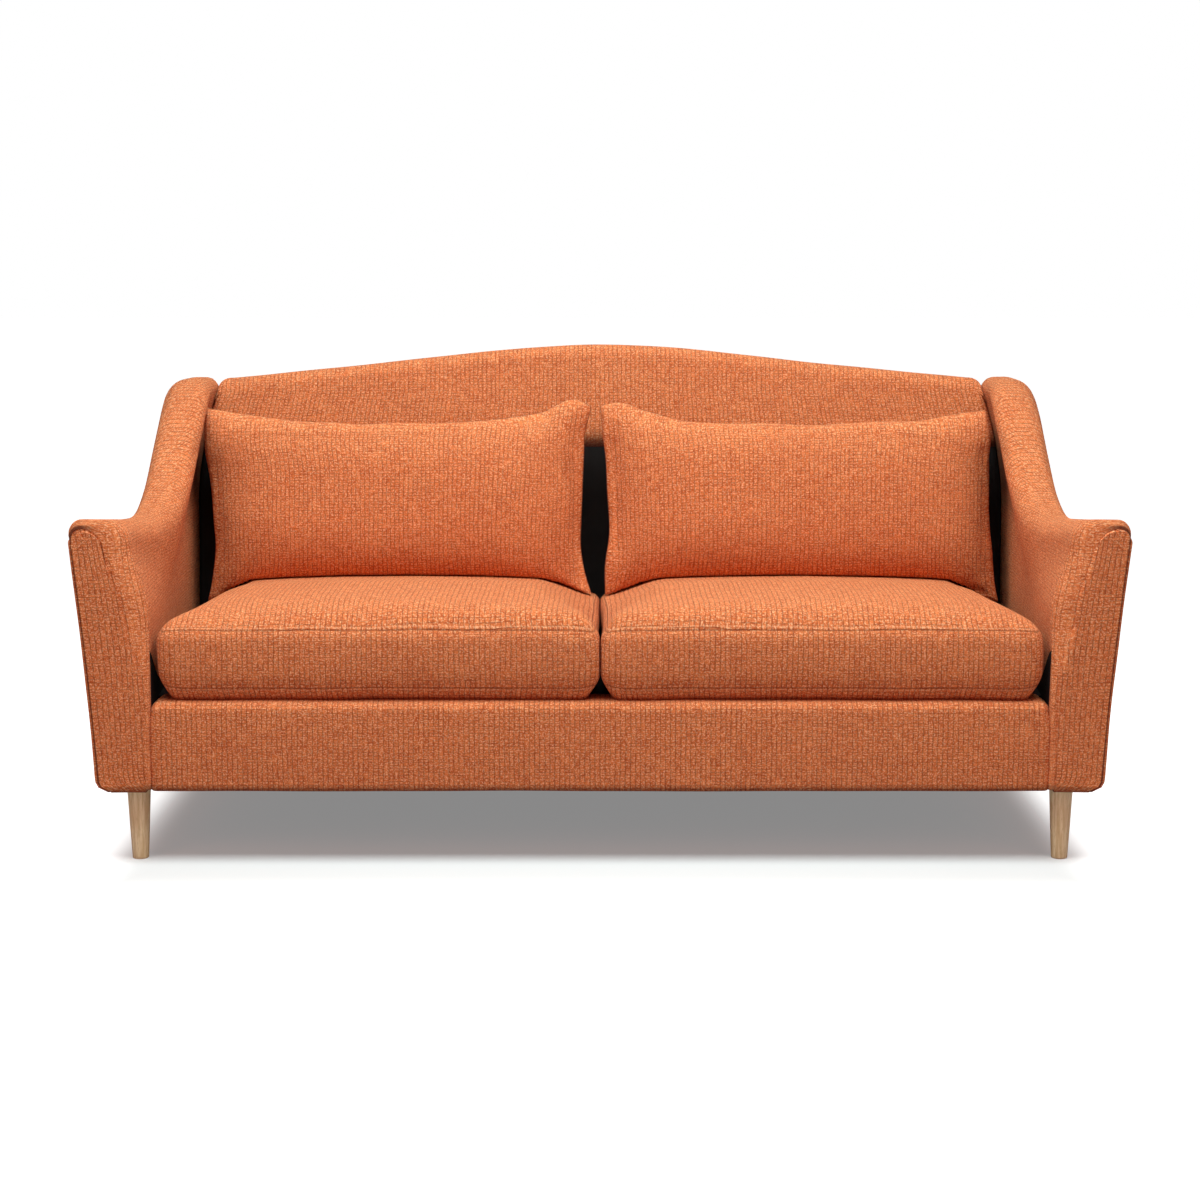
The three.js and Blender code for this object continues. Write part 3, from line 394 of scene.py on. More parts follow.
# Node materials
class Wire:
    """A socket that takes plain sums."""

    def __init__(self, nodes, socket):
        self.nodes, self.socket = nodes, socket

    def __add__(self, other):
        return self.nodes.math("ADD", self, other)

    def __sub__(self, other):
        return self.nodes.math("SUBTRACT", self, other)

    def __rsub__(self, other):
        return self.nodes.math("SUBTRACT", other, self)

    def __mul__(self, other):
        return self.nodes.math("MULTIPLY", self, other)


class Nodes:
    """Short hand for the node tree of a material or world."""

    def __init__(self, owner):
        self.owner = owner
        owner.use_nodes = True
        self.tree = owner.node_tree
        self.shader = self.tree.nodes.get("Principled BSDF")

    def node(self, kind, *values, **settings):
        made = self.tree.nodes.new(kind)
        for key, value in settings.items():
            setattr(made, key, value)
        for socket, value in zip(made.inputs, values):
            self.put(socket, value)
        return made

    def put(self, socket, value):
        value = value.socket if isinstance(value, Wire) else value
        if isinstance(value, bpy.types.NodeSocket):
            self.tree.links.new(value, socket)
        else:
            socket.default_value = value

    def math(self, operation, *values):
        return Wire(self, self.node("ShaderNodeMath", *values, operation=operation).outputs[0])

    def most(self, a, b):
        return self.math("MAXIMUM", a, b)

    def size(self, value):
        return self.math("ABSOLUTE", value)

    def whole(self, value):
        return self.math("FLOOR", value)

    def part(self, value):
        return self.math("FRACT", value)

    def wave(self, value, pitch):
        return self.math("SINE", value * (2 * math.pi / pitch))

    def step(self, value, low, high, to_low=0.0, to_high=1.0):
        """A smooth step of the value between two limits."""
        given = value, low, high, to_low, to_high
        made = self.node("ShaderNodeMapRange", *given, interpolation_type="SMOOTHSTEP")
        return Wire(self, made.outputs[0])

    def vector(self, *parts):
        return self.node("ShaderNodeCombineXYZ", *parts).outputs[0]

    def split(self, vector):
        return [Wire(self, part) for part in self.node("ShaderNodeSeparateXYZ", vector).outputs]

    def noise(self, vector, scale=1.0, detail=2.0, roughness=0.5, dimensions="3D"):
        made = self.node("ShaderNodeTexNoise", vector, noise_dimensions=dimensions)
        for label, value in (("Scale", scale), ("Detail", detail), ("Roughness", roughness)):
            made.inputs[label].default_value = value
        return Wire(self, made.outputs[0])

    def cloud(self, x, y, detail=1):
        """Flat noise over two coordinates."""
        return self.noise(self.vector(x, y), 1, detail, dimensions="2D")

    def chance(self, x, y):
        """A random number for each whole place."""
        made = self.node("ShaderNodeTexWhiteNoise", noise_dimensions="2D")
        self.put(made.inputs["Vector"], self.vector(x, y))
        return Wire(self, made.outputs[0])

    def blend(self, share, a, b):
        made = self.node("ShaderNodeMix", data_type="RGBA", blend_type="MIX")
        self.put(made.inputs["Factor"], share)
        for socket, value in ((made.inputs[6], a), (made.inputs[7], b)):
            self.put(socket, (*value, 1.0) if isinstance(value, tuple) else value)
        return made.outputs[2]

    def bump(self, height, distance, strength):
        made = self.node("ShaderNodeBump")
        for label, value in (("Distance", distance), ("Strength", strength), ("Height", height)):
            self.put(made.inputs[label], value)
        self.put(self.shader.inputs["Normal"], made.outputs[0])

    def attribute(self, name):
        return Wire(self, self.node("ShaderNodeAttribute", attribute_name=name).outputs["Fac"])

    def place(self):
        return self.node("ShaderNodeTexCoord").outputs["Object"]

    def streaks(self, along, stretch, scale):
        """Coordinates drawn out along one axis of the piece."""
        parts = zip("xyz", self.split(self.place()))
        return self.vector(*(part * (scale / stretch if axis == along else scale) for axis, part in parts))

    def set(self, **values):
        for key, value in values.items():
            self.put(self.shader.inputs[key.replace("_", " ")], value)


def material(name):
    return Nodes(bpy.data.materials.new(name))


CLOTH_ORANGE = (0.740, 0.186, 0.058)
CLOTH_RUST = (0.460, 0.062, 0.015)
CLOTH_SLUB = (0.940, 0.500, 0.270)
CLOTH_GROOVE = (0.150, 0.020, 0.008)
CLOTH_PAINTED_SHADE = (0.030, 0.003, 0.002)
CLOTH_JOIN = (0.075, 0.010, 0.006)
CLOTH_SHEEN = (1.0, 0.72, 0.48, 1.0)
RIB_PITCH = 0.0096
ROW_PITCH = 0.0063
RIB_SWAY = 0.45
ROW_SWAY = 0.55
RIB_DARK = 0.60
ROW_DARK = 0.54
SLUB_SHARE = 0.68
STITCH_PITCH = 0.0062
STITCH_BAND = (0.0022, 0.0027, 0.0036, 0.0042)


def weave_colour(n, u, v, seam, stitched):
    """The weave's colour, and its threads, tone, grooves and slubs for the bump."""
    across = u * (1 / RIB_PITCH) + (n.cloud(u * 24, v * 9) - 0.5) * RIB_SWAY
    up = v * (1 / ROW_PITCH) + (n.cloud(u * 12, v * 30) - 0.5) * ROW_SWAY
    column, row = n.whole(across), n.whole(up)

    # Dark grooves beside the ribs and rows, broken up along their run; ribs fade where the cloth rolls
    rib_break = n.cloud(column * 3.7, up * 0.55, 2)
    row_break = n.cloud(across * 0.5, row * 5.3, 2)
    rib_dark = n.step(n.size(n.part(across) - 0.5), 0.30, 0.48) * n.step(rib_break, 0.30, 0.55)
    row_dark = n.step(n.size(n.part(up) - 0.5), 0.28, 0.48) * n.step(row_break, 0.36, 0.62)
    rolled = n.step(seam, 0.0, 0.0004) * (1.0 - stitched)
    rib_dark = rib_dark * (1.0 - rolled * (0.8 - n.step(seam, 0.0, 0.018) * 0.8))

    # Fine threads lie one way in a cell and the other way in the next
    turn = n.math("PINGPONG", column + row, 1.0)
    thin_u, thin_v = across * 3.0, up * 3.0
    warp, weft = n.wave(n.part(thin_u), 2.0), n.wave(n.part(thin_v), 2.0)
    thread = warp * (1.0 - turn) + weft * turn
    tone = n.chance(n.whole(thin_u), row) * (1.0 - turn) + n.chance(column, n.whole(thin_v)) * turn
    cell = n.chance(column + 31.0, row + 17.0)

    # Pale slubs, short and thick, mostly along the rows
    slub_row = n.step(n.cloud(u * 210, v * 520), 0.56, 0.72)
    pale = n.most(slub_row, n.step(n.cloud(u * 520, v * 230), 0.58, 0.74))
    wide = n.noise(n.place(), 7.0, 2)

    colour = n.blend(n.step(tone + cell * 0.25, 0.0, 1.25), CLOTH_RUST, CLOTH_ORANGE)
    colour = n.blend(n.step(thread, 0.1, 0.9) * 0.5, colour, CLOTH_ORANGE)
    colour = n.blend(pale * SLUB_SHARE, colour, CLOTH_SLUB)
    colour = n.blend(n.most(rib_dark * RIB_DARK, row_dark * ROW_DARK), colour, CLOTH_GROOVE)
    colour = n.blend(n.step(wide, 0.35, 0.65, 0.0, 0.06), colour, CLOTH_RUST)
    return colour, thread, tone, n.most(rib_dark, row_dark), pale


def cloth_material():
    """Chunky basket weave: broken dark ribs, crosswise threads and pale slubs, with its seams.

    The seam attribute is the distance from a seam. A positive stitch sews it, a negative one hides it.
    """
    n = material("basket_weave")
    u, v, _ = n.split(n.node("ShaderNodeUVMap", uv_map="weave").outputs[0])
    seam, stitch = n.attribute("seam"), n.attribute("stitch")
    stitched, hidden = n.most(stitch, 0.0), n.most(stitch * -1.0, 0.0)
    colour, thread, tone, groove, pale = weave_colour(n, u, v, seam, stitched)
    # Painted shade: the shade attribute darkens the weave towards near-black
    colour = n.blend(n.attribute("shade") * 0.96, colour, CLOTH_PAINTED_SHADE)

    # Seams: a dark join, and on stitched ones a pale dashed thread beside it
    join = n.step(n.size(seam), 0.0004, 0.0016, 1.0, 0.0) * (1.0 - hidden)
    dash = n.step(n.part((u + v) * (1 / STITCH_PITCH)), 0.15, 0.35)
    inside = seam * -1.0
    near, full, fading, far = STITCH_BAND
    sewn = n.step(inside, near, full) * n.step(inside, fading, far, 1.0, 0.0) * dash * stitched
    colour = n.blend(join * (0.80 - stitched * 0.34), colour, CLOTH_JOIN)
    colour = n.blend(sewn * 0.3, colour, CLOTH_SLUB)

    height = thread * 0.30 + tone * 0.25 - groove * 0.85 + pale * 0.45
    n.bump(height - join * 0.5 + sewn * 0.2, 0.0011, 0.75)
    n.set(Base_Color=colour, Roughness=0.92, Specular_IOR_Level=0.15)
    n.set(Sheen_Weight=0.05, Sheen_Roughness=0.5, Sheen_Tint=CLOTH_SHEEN)
    return n.owner


def lining_material():
    """Plain black woven lining; its black also stands in for deep shade in the gaps."""
    n = material("black_lining")
    x, y, z = n.split(n.place())
    pitch = 0.0021
    cloudy = n.noise(n.place(), 18, 3)
    n.bump(n.wave(x + z * 0.2, pitch) + n.wave(y + z, pitch), 0.0003, 0.5)
    colour = n.blend(cloudy, (0.010, 0.008, 0.008), (0.022, 0.017, 0.016))
    n.set(Base_Color=colour, Roughness=0.95, Specular_IOR_Level=0.1)
    return n.owner


def oak_material():
    """Pale oak with upright grain, darker flecks and a small knot or two."""
    n = material("pale_oak")
    warp = n.noise(n.streaks("z", 4.0, 22.0), 1, 2)
    rings = n.noise(n.blend(0.10, n.streaks("z", 14.0, 190.0), warp), 1, 4, 0.65)
    fleck = n.noise(n.streaks("z", 9.0, 620.0), 1, 2)
    cloud = n.noise(n.place(), 26, 2)
    colour = n.blend(n.step(rings, 0.32, 0.68), (0.640, 0.385, 0.190), (0.880, 0.645, 0.400))
    colour = n.blend(n.step(fleck, 0.58, 0.74) * 0.45, colour, (0.440, 0.240, 0.110))
    colour = n.blend(n.step(cloud, 0.40, 0.70, 0.0, 0.30), colour, (0.760, 0.480, 0.255))
    n.bump(rings + fleck * 0.4, 0.0004, 0.35)
    n.set(Base_Color=colour, Roughness=n.step(rings, 0.3, 0.7, 0.52, 0.40))
    n.set(Coat_Weight=0.12, Coat_Roughness=0.3)
    return n.owner


def ply_material():
    """Birch ply: pale faces with long grain, thin dark glue lines on the edges."""
    n = material("birch_ply")
    x, y, z = n.split(n.place())
    veneer = 0.0036
    grain = n.noise(n.streaks("x", 12.0, 120.0), 1, 4, 0.6)
    line = n.step(n.size(n.part((x + y + z) * (1 / veneer)) - 0.5), 0.36, 0.48)
    colour = n.blend(n.step(grain, 0.3, 0.7), (0.480, 0.310, 0.160), (0.640, 0.460, 0.270))
    colour = n.blend(line * 0.22, colour, (0.250, 0.140, 0.070))
    n.bump(grain, 0.0003, 0.4)
    n.set(Base_Color=colour, Roughness=0.7)
    return n.owner


def steel_material():
    """Zinc-plated steel, brushed, with darker spots."""
    n = material("plated_steel")
    brushed = n.noise(n.streaks("x", 10.0, 900.0), 1, 2)
    spots = n.noise(n.place(), 70, 3)
    colour = n.blend(n.step(spots, 0.4, 0.7), (0.560, 0.560, 0.570), (0.360, 0.350, 0.350))
    n.bump(brushed, 0.0001, 0.3)
    n.set(Base_Color=colour, Metallic=1.0, Roughness=n.step(brushed, 0.3, 0.7, 0.28, 0.42))
    return n.owner


def foam_material():
    """Cream foam with fine open cells."""
    n = material("cream_foam")
    cells = n.node("ShaderNodeTexVoronoi", n.place())
    cells.inputs["Scale"].default_value = 900
    cloud = n.noise(n.place(), 12, 3)
    n.bump(cells.outputs[0], 0.0004, 0.5)
    n.set(Base_Color=n.blend(cloud, (0.830, 0.720, 0.500), (0.720, 0.590, 0.360)), Roughness=0.97)
    return n.owner


def webbing_material():
    """Coarse jute webbing, woven over and under."""
    n = material("jute_webbing")
    x, _, z = n.split(n.place())
    pitch = 0.0045
    weave = n.wave(x, pitch) * n.wave(z, pitch)
    fibre = n.noise(n.place(), 500, 3)
    colour = n.blend(n.step(weave, -0.6, 0.6), (0.055, 0.038, 0.028), (0.130, 0.092, 0.062))
    colour = n.blend(fibre * 0.5, colour, (0.210, 0.150, 0.095))
    n.bump(weave + fibre, 0.0008, 0.6)
    n.set(Base_Color=colour, Roughness=0.95)
    return n.owner


MATERIALS = {
    "cloth": cloth_material(),
    "lining": lining_material(),
    "oak": oak_material(),
    "ply": ply_material(),
    "steel": steel_material(),
    "foam": foam_material(),
    "webbing": webbing_material(),
}
for row in frame["record"]["subparts"]:
    kept = frame["nodes"][row["node"]].data.materials
    kept.clear()
    kept.append(MATERIALS[row["material_slot"]])


# Arms: a swept cover with its padded front, and a flat panel that closes the outside
ARC_STEPS = 8
FLAT_STEPS = 5
FACE_ROWS = 58
CLOTH_ROWS = 40
ARM_REAR_ROUND = 0.008
ARM_TUCK = 0.050
ARM_TUCK_START = 0.030
ARM_TUCK_RUN = 0.050
ARM_LINING_FRONT = 0.415
ARM_LINING_REAR = 0.340
ARM_LINING_FALL = 0.140
ARM_LINING_START = 0.016
SEAM_FADE = 0.034
FRONT_BULGE = 0.0022
FRONT_HEM = ((0.0, 0.0), (0.004, -0.0006), (0.030, -0.0006))
WING_SHADE = 0.65
WING_SHADE_START = 0.540
WING_SHADE_RUN = 0.150
WING_SHADE_TOP = 0.810
WING_SHADE_TOP_FADE = 0.080
WING_SHADE_FOOT = 0.580
WING_SHADE_FOOT_FADE = 0.090
WING_SHADE_SKIN = 0.012
PANEL_EDGE = 0.004
PANEL_STEP = 0.014
PANEL_FLAPS = (0.030, 0.015)
ARM_PANEL_THICKNESS = 0.0028

ArmSection = namedtuple("ArmSection", "strip over face edge spring")


def standing(flat, depth):
    """Sets a flat section upright at a depth."""
    return paired(flat[:, 0], np.full(len(flat), FRONT_Y + depth), flat[:, 1])


def outer_corner_at(depth):
    return between(OUTER_CORNER_FRONT, OUTER_CORNER_BACK, wing_share(depth))


def arm_section(depth):
    """The arm at a depth: strip above the lip, way over the top, inner face and outer edge."""
    rear = nose(REAR_DEPTH - depth, ARM_REAR_ROUND)
    top = float(arm_top(depth)) - nose(depth, TOP_NOSE_RADIUS) - rear
    outer_corner = outer_corner_at(depth)
    inner_corner = between(INNER_CORNER_FRONT, INNER_CORNER_BACK, wing_share(depth))
    spring_out, spring_in = top - outer_corner, top - inner_corner

    def outer(height):
        return arm_outer(depth, height) - nose(depth, EDGE_RADIUS) - rear

    def inner(height):
        return arm_inner(depth, height) + nose(depth, nose_radius(height)) + rear / 2

    lip = spring_out - LIP
    strip = np.linspace(lip, spring_out, 3)
    edge = np.concatenate([np.linspace(BASE, lip, FACE_ROWS - 1), [(lip + spring_out) / 2, spring_out]])
    hub, hub_in = outer(spring_out) - outer_corner, inner(spring_in) + inner_corner
    angles = quarter(ARC_STEPS + 1)[1:]
    share = np.linspace(0, 1, FLAT_STEPS + 2)[1:-1]
    over = np.concatenate([
        paired(hub + outer_corner * np.cos(angles), spring_out + outer_corner * np.sin(angles)),
        paired(hub + (hub_in - hub) * share, np.full(FLAT_STEPS, top)),
        np.array([[hub_in, top]]),
        paired(hub_in - inner_corner * np.sin(angles), spring_in + inner_corner * np.cos(angles)),
    ])
    foot = eased(BASE, DECK - ARM_TUCK, (depth - ARM_TUCK_START) / ARM_TUCK_RUN)
    lining_top = eased(ARM_LINING_FRONT, ARM_LINING_REAR, depth / ARM_LINING_FALL)
    upper = np.linspace(spring_in, lining_top, CLOTH_ROWS + 1)[1:]
    heights = np.concatenate([upper, np.linspace(lining_top, foot, FACE_ROWS - CLOTH_ROWS + 1)[1:]])
    return ArmSection(
        strip=paired(outer(strip), strip),
        over=over,
        face=paired(inner(heights), heights),
        edge=paired(outer(edge), edge),
        spring=spring_in,
    )


def arm_sweep(depths, sections):
    """The cover's rings, with their weave run, counted round the front turn, their seams and fading."""
    half_height = (BASE + ARM_DIP_TOP) / 2
    run = joined_runs(paired(arm_inner(depths, half_height) + nose(depths, nose_radius(half_height)), depths))
    first = sections[0]
    face_widths = first.edge[::-1][1:, 0] - first.face[:, 0]
    widths = np.concatenate([np.full(len(first.strip) + len(first.over), face_widths[0]), face_widths])
    rings, uvs, seams, fades = [], [], [], []
    for depth, along, section in zip(depths, run, sections):
        ring = np.concatenate([section.strip, section.over, section.face])
        length = joined_runs(ring)
        knee = length[len(section.strip) + len(section.over) - 1]
        height = np.concatenate([section.spring + knee - length[:-FACE_ROWS], section.face[:, 1]])
        rings.append(standing(ring, depth))
        uvs.append(paired(along + widths, height))
        seams.append(np.full(len(ring), min(depth, SEAM_FAR)))
        fades.append(-np.clip((length - length[len(section.strip) + ARC_STEPS + 2]) / SEAM_FADE, 0, 1))
    return np.array(rings), np.array(uvs), np.array(seams), np.array(fades)


def arm_front(sewing, first):
    """Front face between its outer edge, top arch and inner turn, with its hem turned back below."""
    left = standing(first.edge, 0.0)
    right = standing(np.concatenate([first.face[::-1], first.over[-1:]]), 0.0)
    high = standing(np.concatenate([first.strip[-1:], first.over]), 0.0)
    s = np.linspace(0, 1, len(high))
    t = np.linspace(0, 1, len(left))[:, None]
    low = left[0] * (1 - s[:, None]) + right[0] * s[:, None]
    front = coons(left, right, low, high)
    front[..., 1] -= FRONT_BULGE * (16 * s * (1 - s) * t * (1 - t)) ** 1.5
    uv = paired(left[:, None, 0] - front[..., 0], front[..., 2])
    outline = np.concatenate([left, high])
    tail = high[ARC_STEPS + 3:]
    fading = np.clip(joined_runs(tail) / SEAM_FADE, 0, 1)
    hidden = np.concatenate([np.zeros(len(outline) - len(tail)), fading])
    gap = np.linalg.norm(front[:, :, None, ::2] - outline[None, None, :, ::2], axis=-1)
    sewing.patch(front, uv, -np.minimum(gap.min(-1), SEAM_FAR), -hidden[gap.argmin(-1)])

    hem = np.array([front[0] + (0, back, drop) for back, drop in FRONT_HEM])
    across = np.broadcast_to(uv[0, :, 0], hem.shape[:2])
    sewing.patch(hem, paired(across, BASE - (hem[..., 1] - FRONT_Y)), flip=True)


def arm_cover(side, hand):
    depths = nosed_stations(0.0, REAR_DEPTH, NOSE_RADIUS, GRID, ARM_REAR_ROUND)
    depths = np.sort(np.append(depths, ARM_SKIN))
    sections = [arm_section(depth) for depth in depths]
    rings, uvs, seams, fades = arm_sweep(depths, sections)
    knee = rings.shape[1] - FACE_ROWS + CLOTH_ROWS
    turned_in = int(np.argmax(depths >= ARM_LINING_START)) + 1
    sewing = Sewing(side)
    for part in ((slice(None), slice(knee)), (slice(turned_in), slice(knee - 1, None))):
        sewing.patch(rings[part], uvs[part], seams[part], fades[part], flip=True)
    # Black lining on the inner arm below the cloth; its black also stands in for deep shade by the seat
    part = slice(turned_in - 1, None), slice(knee - 1, None)
    lining = sheet(f"arm_lining_{hand}", rings[part], uvs[part], side, flip=True)
    fixed(lining, f"arm_cover_{hand}", slot="lining")

    # The front's outer edge turns back a little way to the outside panel
    edge_depths = depths[depths <= ARM_SKIN + 1e-9]
    edges = np.array([standing(section.edge[:-2], d) for section, d in zip(sections, edge_depths)])
    edge_depths = np.broadcast_to(edge_depths[:, None], edges.shape[:2])
    sewing.patch(edges, paired(-edge_depths, edges[..., 2]), np.minimum(edge_depths * 4, SEAM_FAR))
    arm_front(sewing, sections[0])

    cover = sewing.piece(f"arm_upholstery_{hand}")
    x, y, z = coordinates(cover.data).T
    # Painted shade on the inner wing where it nears the back, and along the bottom edge
    deep = eased(0, 1, (y - FRONT_Y - WING_SHADE_START) / WING_SHADE_RUN)
    ends = (WING_SHADE_TOP - z, WING_SHADE_TOP_FADE), (z - WING_SHADE_FOOT, WING_SHADE_FOOT_FADE)
    for height, fade in ends:
        deep = deep * eased(0, 1, height / fade)
    shade = WING_SHADE * deep * (np.abs(x) < arm_inner(y - FRONT_Y, z) + WING_SHADE_SKIN)
    store(cover.data, "shade", np.maximum(shade, painted_bottom_shade(z)))
    press(cover, 11 + side, 0.22, 0.0007)
    fixed(cover, f"arm_cover_{hand}")


def outside_arm(side, hand):
    """The flat panel below the lip, its foot turned under."""
    first, last = ARM_SKIN + FIT, REAR_DEPTH
    rows = BASE + closing(BASE_CORNER, 9)
    rings = []
    for depth in nosed_stations(first, last, PANEL_EDGE, PANEL_STEP, PANEL_EDGE):
        top = float(arm_top(depth)) - nose(depth, TOP_NOSE_RADIUS)
        lip = top - outer_corner_at(depth) - LIP - FIT
        upper = lip - PANEL_EDGE * np.cos(quarter(6))
        heights = np.concatenate([rows, np.linspace(rows[-1], upper[0], 42)[1:], upper[1:]])
        roll = sum(nose(gap, PANEL_EDGE) for gap in (lip - heights, depth - first, last - depth))
        out = arm_outer(depth, heights) - roll
        flaps = np.array([[out[0] - reach, BASE] for reach in PANEL_FLAPS])
        rings.append(standing(np.concatenate([flaps, paired(out, heights)]), depth))
    rings = np.array(rings)
    uv = paired(-rings[..., 1], rings[..., 2])
    panel = sheet(f"outside_arm_upholstery_{hand}", rings, uv, side)
    fixed(panel, f"outside_arm_{hand}", ARM_PANEL_THICKNESS)


for side, hand in ((1, "right"), (-1, "left")):
    arm_cover(side, hand)
    outside_arm(side, hand)


# Front rail cover: a padded strip folded over the rail, its ends turned in against the arms
RAIL_SETBACK = 0.008
RAIL_CORNER = 0.014
RAIL_FLANGE = 0.097
RAIL_TUCK = 0.040
RAIL_BULGE = 0.0020
RAIL_END_RADIUS = 0.009
RAIL_TOP_END_RADIUS = 0.018
RAIL_END_FADE = 0.050
RAIL_TURN = 0.020


def rail_profile(face):
    """The section from the flange over the top, down the face and round the hem."""
    arc = np.linspace(math.pi / 2, math.pi, 9)
    under = np.linspace(math.pi, 1.5 * math.pi, 5)[1:]
    top, drop = DECK - RAIL_CORNER, BASE + EDGE_RADIUS - DECK + RAIL_CORNER
    flange = [(face + RAIL_FLANGE, DECK), (face + 0.050, DECK + 0.0015), (face + 0.030, DECK + 0.001)]
    corner = [(face + RAIL_CORNER * (1 + math.cos(a)), DECK - RAIL_CORNER * (1 - math.sin(a))) for a in arc]
    front = [(face - RAIL_BULGE * math.sin(math.pi * t), top + t * drop) for t in np.linspace(0, 1, 18)[1:]]
    hem = [(face + EDGE_RADIUS * (1 + math.cos(a)), BASE + EDGE_RADIUS * (1 + math.sin(a))) for a in under]
    return np.array(flange + corner + front + hem + [(face + 0.017, BASE), (face + 0.030, BASE + 0.0005)])


def front_rail():
    face = FRONT_Y + RAIL_SETBACK
    profile = rail_profile(face)
    lengths = joined_runs(profile)
    half = INNER_FRONT - SIDE_GAP
    at_top = eased(0, 1, (profile[:, 1] - (DECK - RAIL_END_FADE)) / RAIL_END_FADE)
    radius = RAIL_END_RADIUS + (RAIL_TOP_END_RADIUS - RAIL_END_RADIUS) * at_top
    turning = (profile[:, 0] < face + RAIL_CORNER * 0.5) | (at_top > 0.2)
    inward = 1 - 0.6 * (profile[:, 0] > face + 0.03)
    rings, uvs, seams = [], [], []
    for x in both_ways(half, RAIL_TURN, 96, 10):
        across = np.full(len(profile), x)
        pull = nose(half - abs(x), radius)
        y = profile[:, 0] + np.where(turning, pull * inward, 0)
        z = profile[:, 1] - np.where(profile[:, 1] > DECK - RAIL_CORNER, pull * 0.9, 0)
        rings.append(paired(across, y, np.maximum(z, BASE)))
        uvs.append(paired(across, -lengths))
        seams.append(np.full(len(profile), min(SEAM_FAR, half - abs(x))))
    for end, place in ((0, 0), (-1, len(rings))):
        tucked = rings[end].copy()
        tucked[:, 1] = np.maximum(tucked[:, 1], face + RAIL_TUCK)
        for rows, row in ((rings, tucked), (uvs, uvs[end]), (seams, seams[end])):
            rows.insert(place, row)
    cover = sheet("front_rail_upholstery", np.array(rings), np.array(uvs), seam=np.array(seams), flip=True)
    # Painted shade along the rail cover's bottom edge
    store(cover.data, "shade", painted_bottom_shade(coordinates(cover.data)[:, 2]))
    press(cover, 21, 0.25, 0.0005)
    fixed(cover, "front_rail_cover")


front_rail()


# Inside back: the camel form between the wings, its lower part in black lining, painted shade above it
LINING_TOP = 0.734
LINING_ROWS = 40
LINING_RECESS = 0.007
LINING_EASE = 0.024
SHADE_REACH = 0.056
BACK_TURN = 0.030
BACK_END_ROUND = 0.016


def back_column(share):
    """One upright line of the back: its face, rounded crest, flat top and rear corner."""
    foot, rear = DECK + FIT, REAR_Y - PANEL - FIT
    top = float(crest_at(share * BACK_HALF))
    spring = top - BACK_CORNER
    low = np.linspace(foot, LINING_TOP, LINING_ROWS)
    heights = np.concatenate([low, np.linspace(LINING_TOP, spring, 15)[1:]])
    crown = BACK_CROWN * np.sin(math.pi * (heights - foot) / (spring - foot))
    tuck = eased(LINING_RECESS, 0, (heights - LINING_TOP + 0.004) / LINING_EASE)
    hub = back_face(spring) + BACK_CORNER
    angles = np.linspace(math.pi, math.pi / 2, 10)[1:]
    turn = np.linspace(math.pi / 2, 0, 5)[1:]
    y, z = np.concatenate([
        paired(back_face(heights) - crown + tuck, heights),
        paired(hub + BACK_CORNER * np.cos(angles), spring + BACK_CORNER * np.sin(angles)),
        paired(np.linspace(hub, rear - BACK_REAR_CORNER, 5)[1:], np.full(4, top)),
        paired(rear - BACK_REAR_CORNER * (1 - np.cos(turn)), top - BACK_REAR_CORNER * (1 - np.sin(turn))),
    ]).T
    pull = nose((1 - abs(share)) * BACK_HALF, BACK_END_ROUND)
    y = y + pull * (z < spring + 0.001)
    reach = arm_inner(np.minimum(y - FRONT_Y, REAR_DEPTH), z) - SIDE_GAP
    return paired(share * reach, y, z)


def inside_back():
    shares = both_ways(BACK_HALF, BACK_TURN, 100, 9) / BACK_HALF
    grid = np.array([back_column(share) for share in shares])
    lengths = np.array([joined_runs(column) for column in grid])
    uv = paired(np.broadcast_to((shares * BACK_HALF)[:, None], grid.shape[:2]), lengths)
    seam = np.minimum(np.abs(lengths - lengths[:, LINING_ROWS - 1: LINING_ROWS]), SEAM_FAR)
    # Lower part in black lining; its black also stands in for the deep shade between the pillows
    for name, part, slot in (
        ("inside_back_upholstery", slice(LINING_ROWS - 1, None), "cloth"),
        ("inside_back_lining", slice(0, LINING_ROWS), "lining"),
    ):
        made = sheet(name, grid[:, part], uv[:, part], seam=seam[:, part], flip=True)
        height = coordinates(made.data)[:, 2]
        # Painted shade, deepening down to the lining's edge
        store(made.data, "shade", eased(1, 0, (height - LINING_TOP) / SHADE_REACH) ** 1.5)
        press(made, 31, 0.30, 0.0006)
        fixed(made, "inside_back_cover", slot=slot)


inside_back()


# Outside back panel with the outline of both wings and the crest
WING_INNER = 0.858
WING_INNER_ROUND = 0.020
BACK_PANEL_GAP = 0.001
BACK_PANEL_THICKNESS = 0.0035


def outside_back():
    shares = np.linspace(-1, 1, 161)
    xs = np.abs(shares) * TOP_HALF_BACK
    crest = crest_at(np.minimum(xs, BACK_HALF))
    wing = WING_TOP - nose(TOP_HALF_BACK - xs, OUTER_CORNER_BACK) - nose(xs - WING_INNER, WING_INNER_ROUND)
    ramp = np.clip((xs - BACK_HALF) / (WING_INNER - BACK_HALF), 0, 1)
    tops = np.where(xs <= BACK_HALF, crest, crest_at(BACK_HALF) * (1 - ramp) + wing * ramp) - BACK_PANEL_GAP
    side_gap = (1 - np.abs(shares)) * TOP_HALF_BACK
    edge = closing(PANEL_EDGE, 5) / 0.7
    rows = []
    for t in np.concatenate([edge, np.linspace(0, 1, 60)[1:-1], 1 - edge[::-1]]):
        z = BASE + t * (tops - BASE)
        x = np.sign(shares) * np.abs(shares) * (arm_outer(REAR_DEPTH, z) - BACK_PANEL_GAP)
        pull = nose(np.minimum(side_gap, np.minimum(z - BASE, tops - z)), PANEL_EDGE)
        rows.append(paired(x, REAR_Y - pull * 0.9, z))
    grid = np.array(rows)
    panel = sheet("outside_back_upholstery", grid, grid[..., ::2], flip=True)
    fixed(panel, "outside_back_panel", BACK_PANEL_THICKNESS)


outside_back()


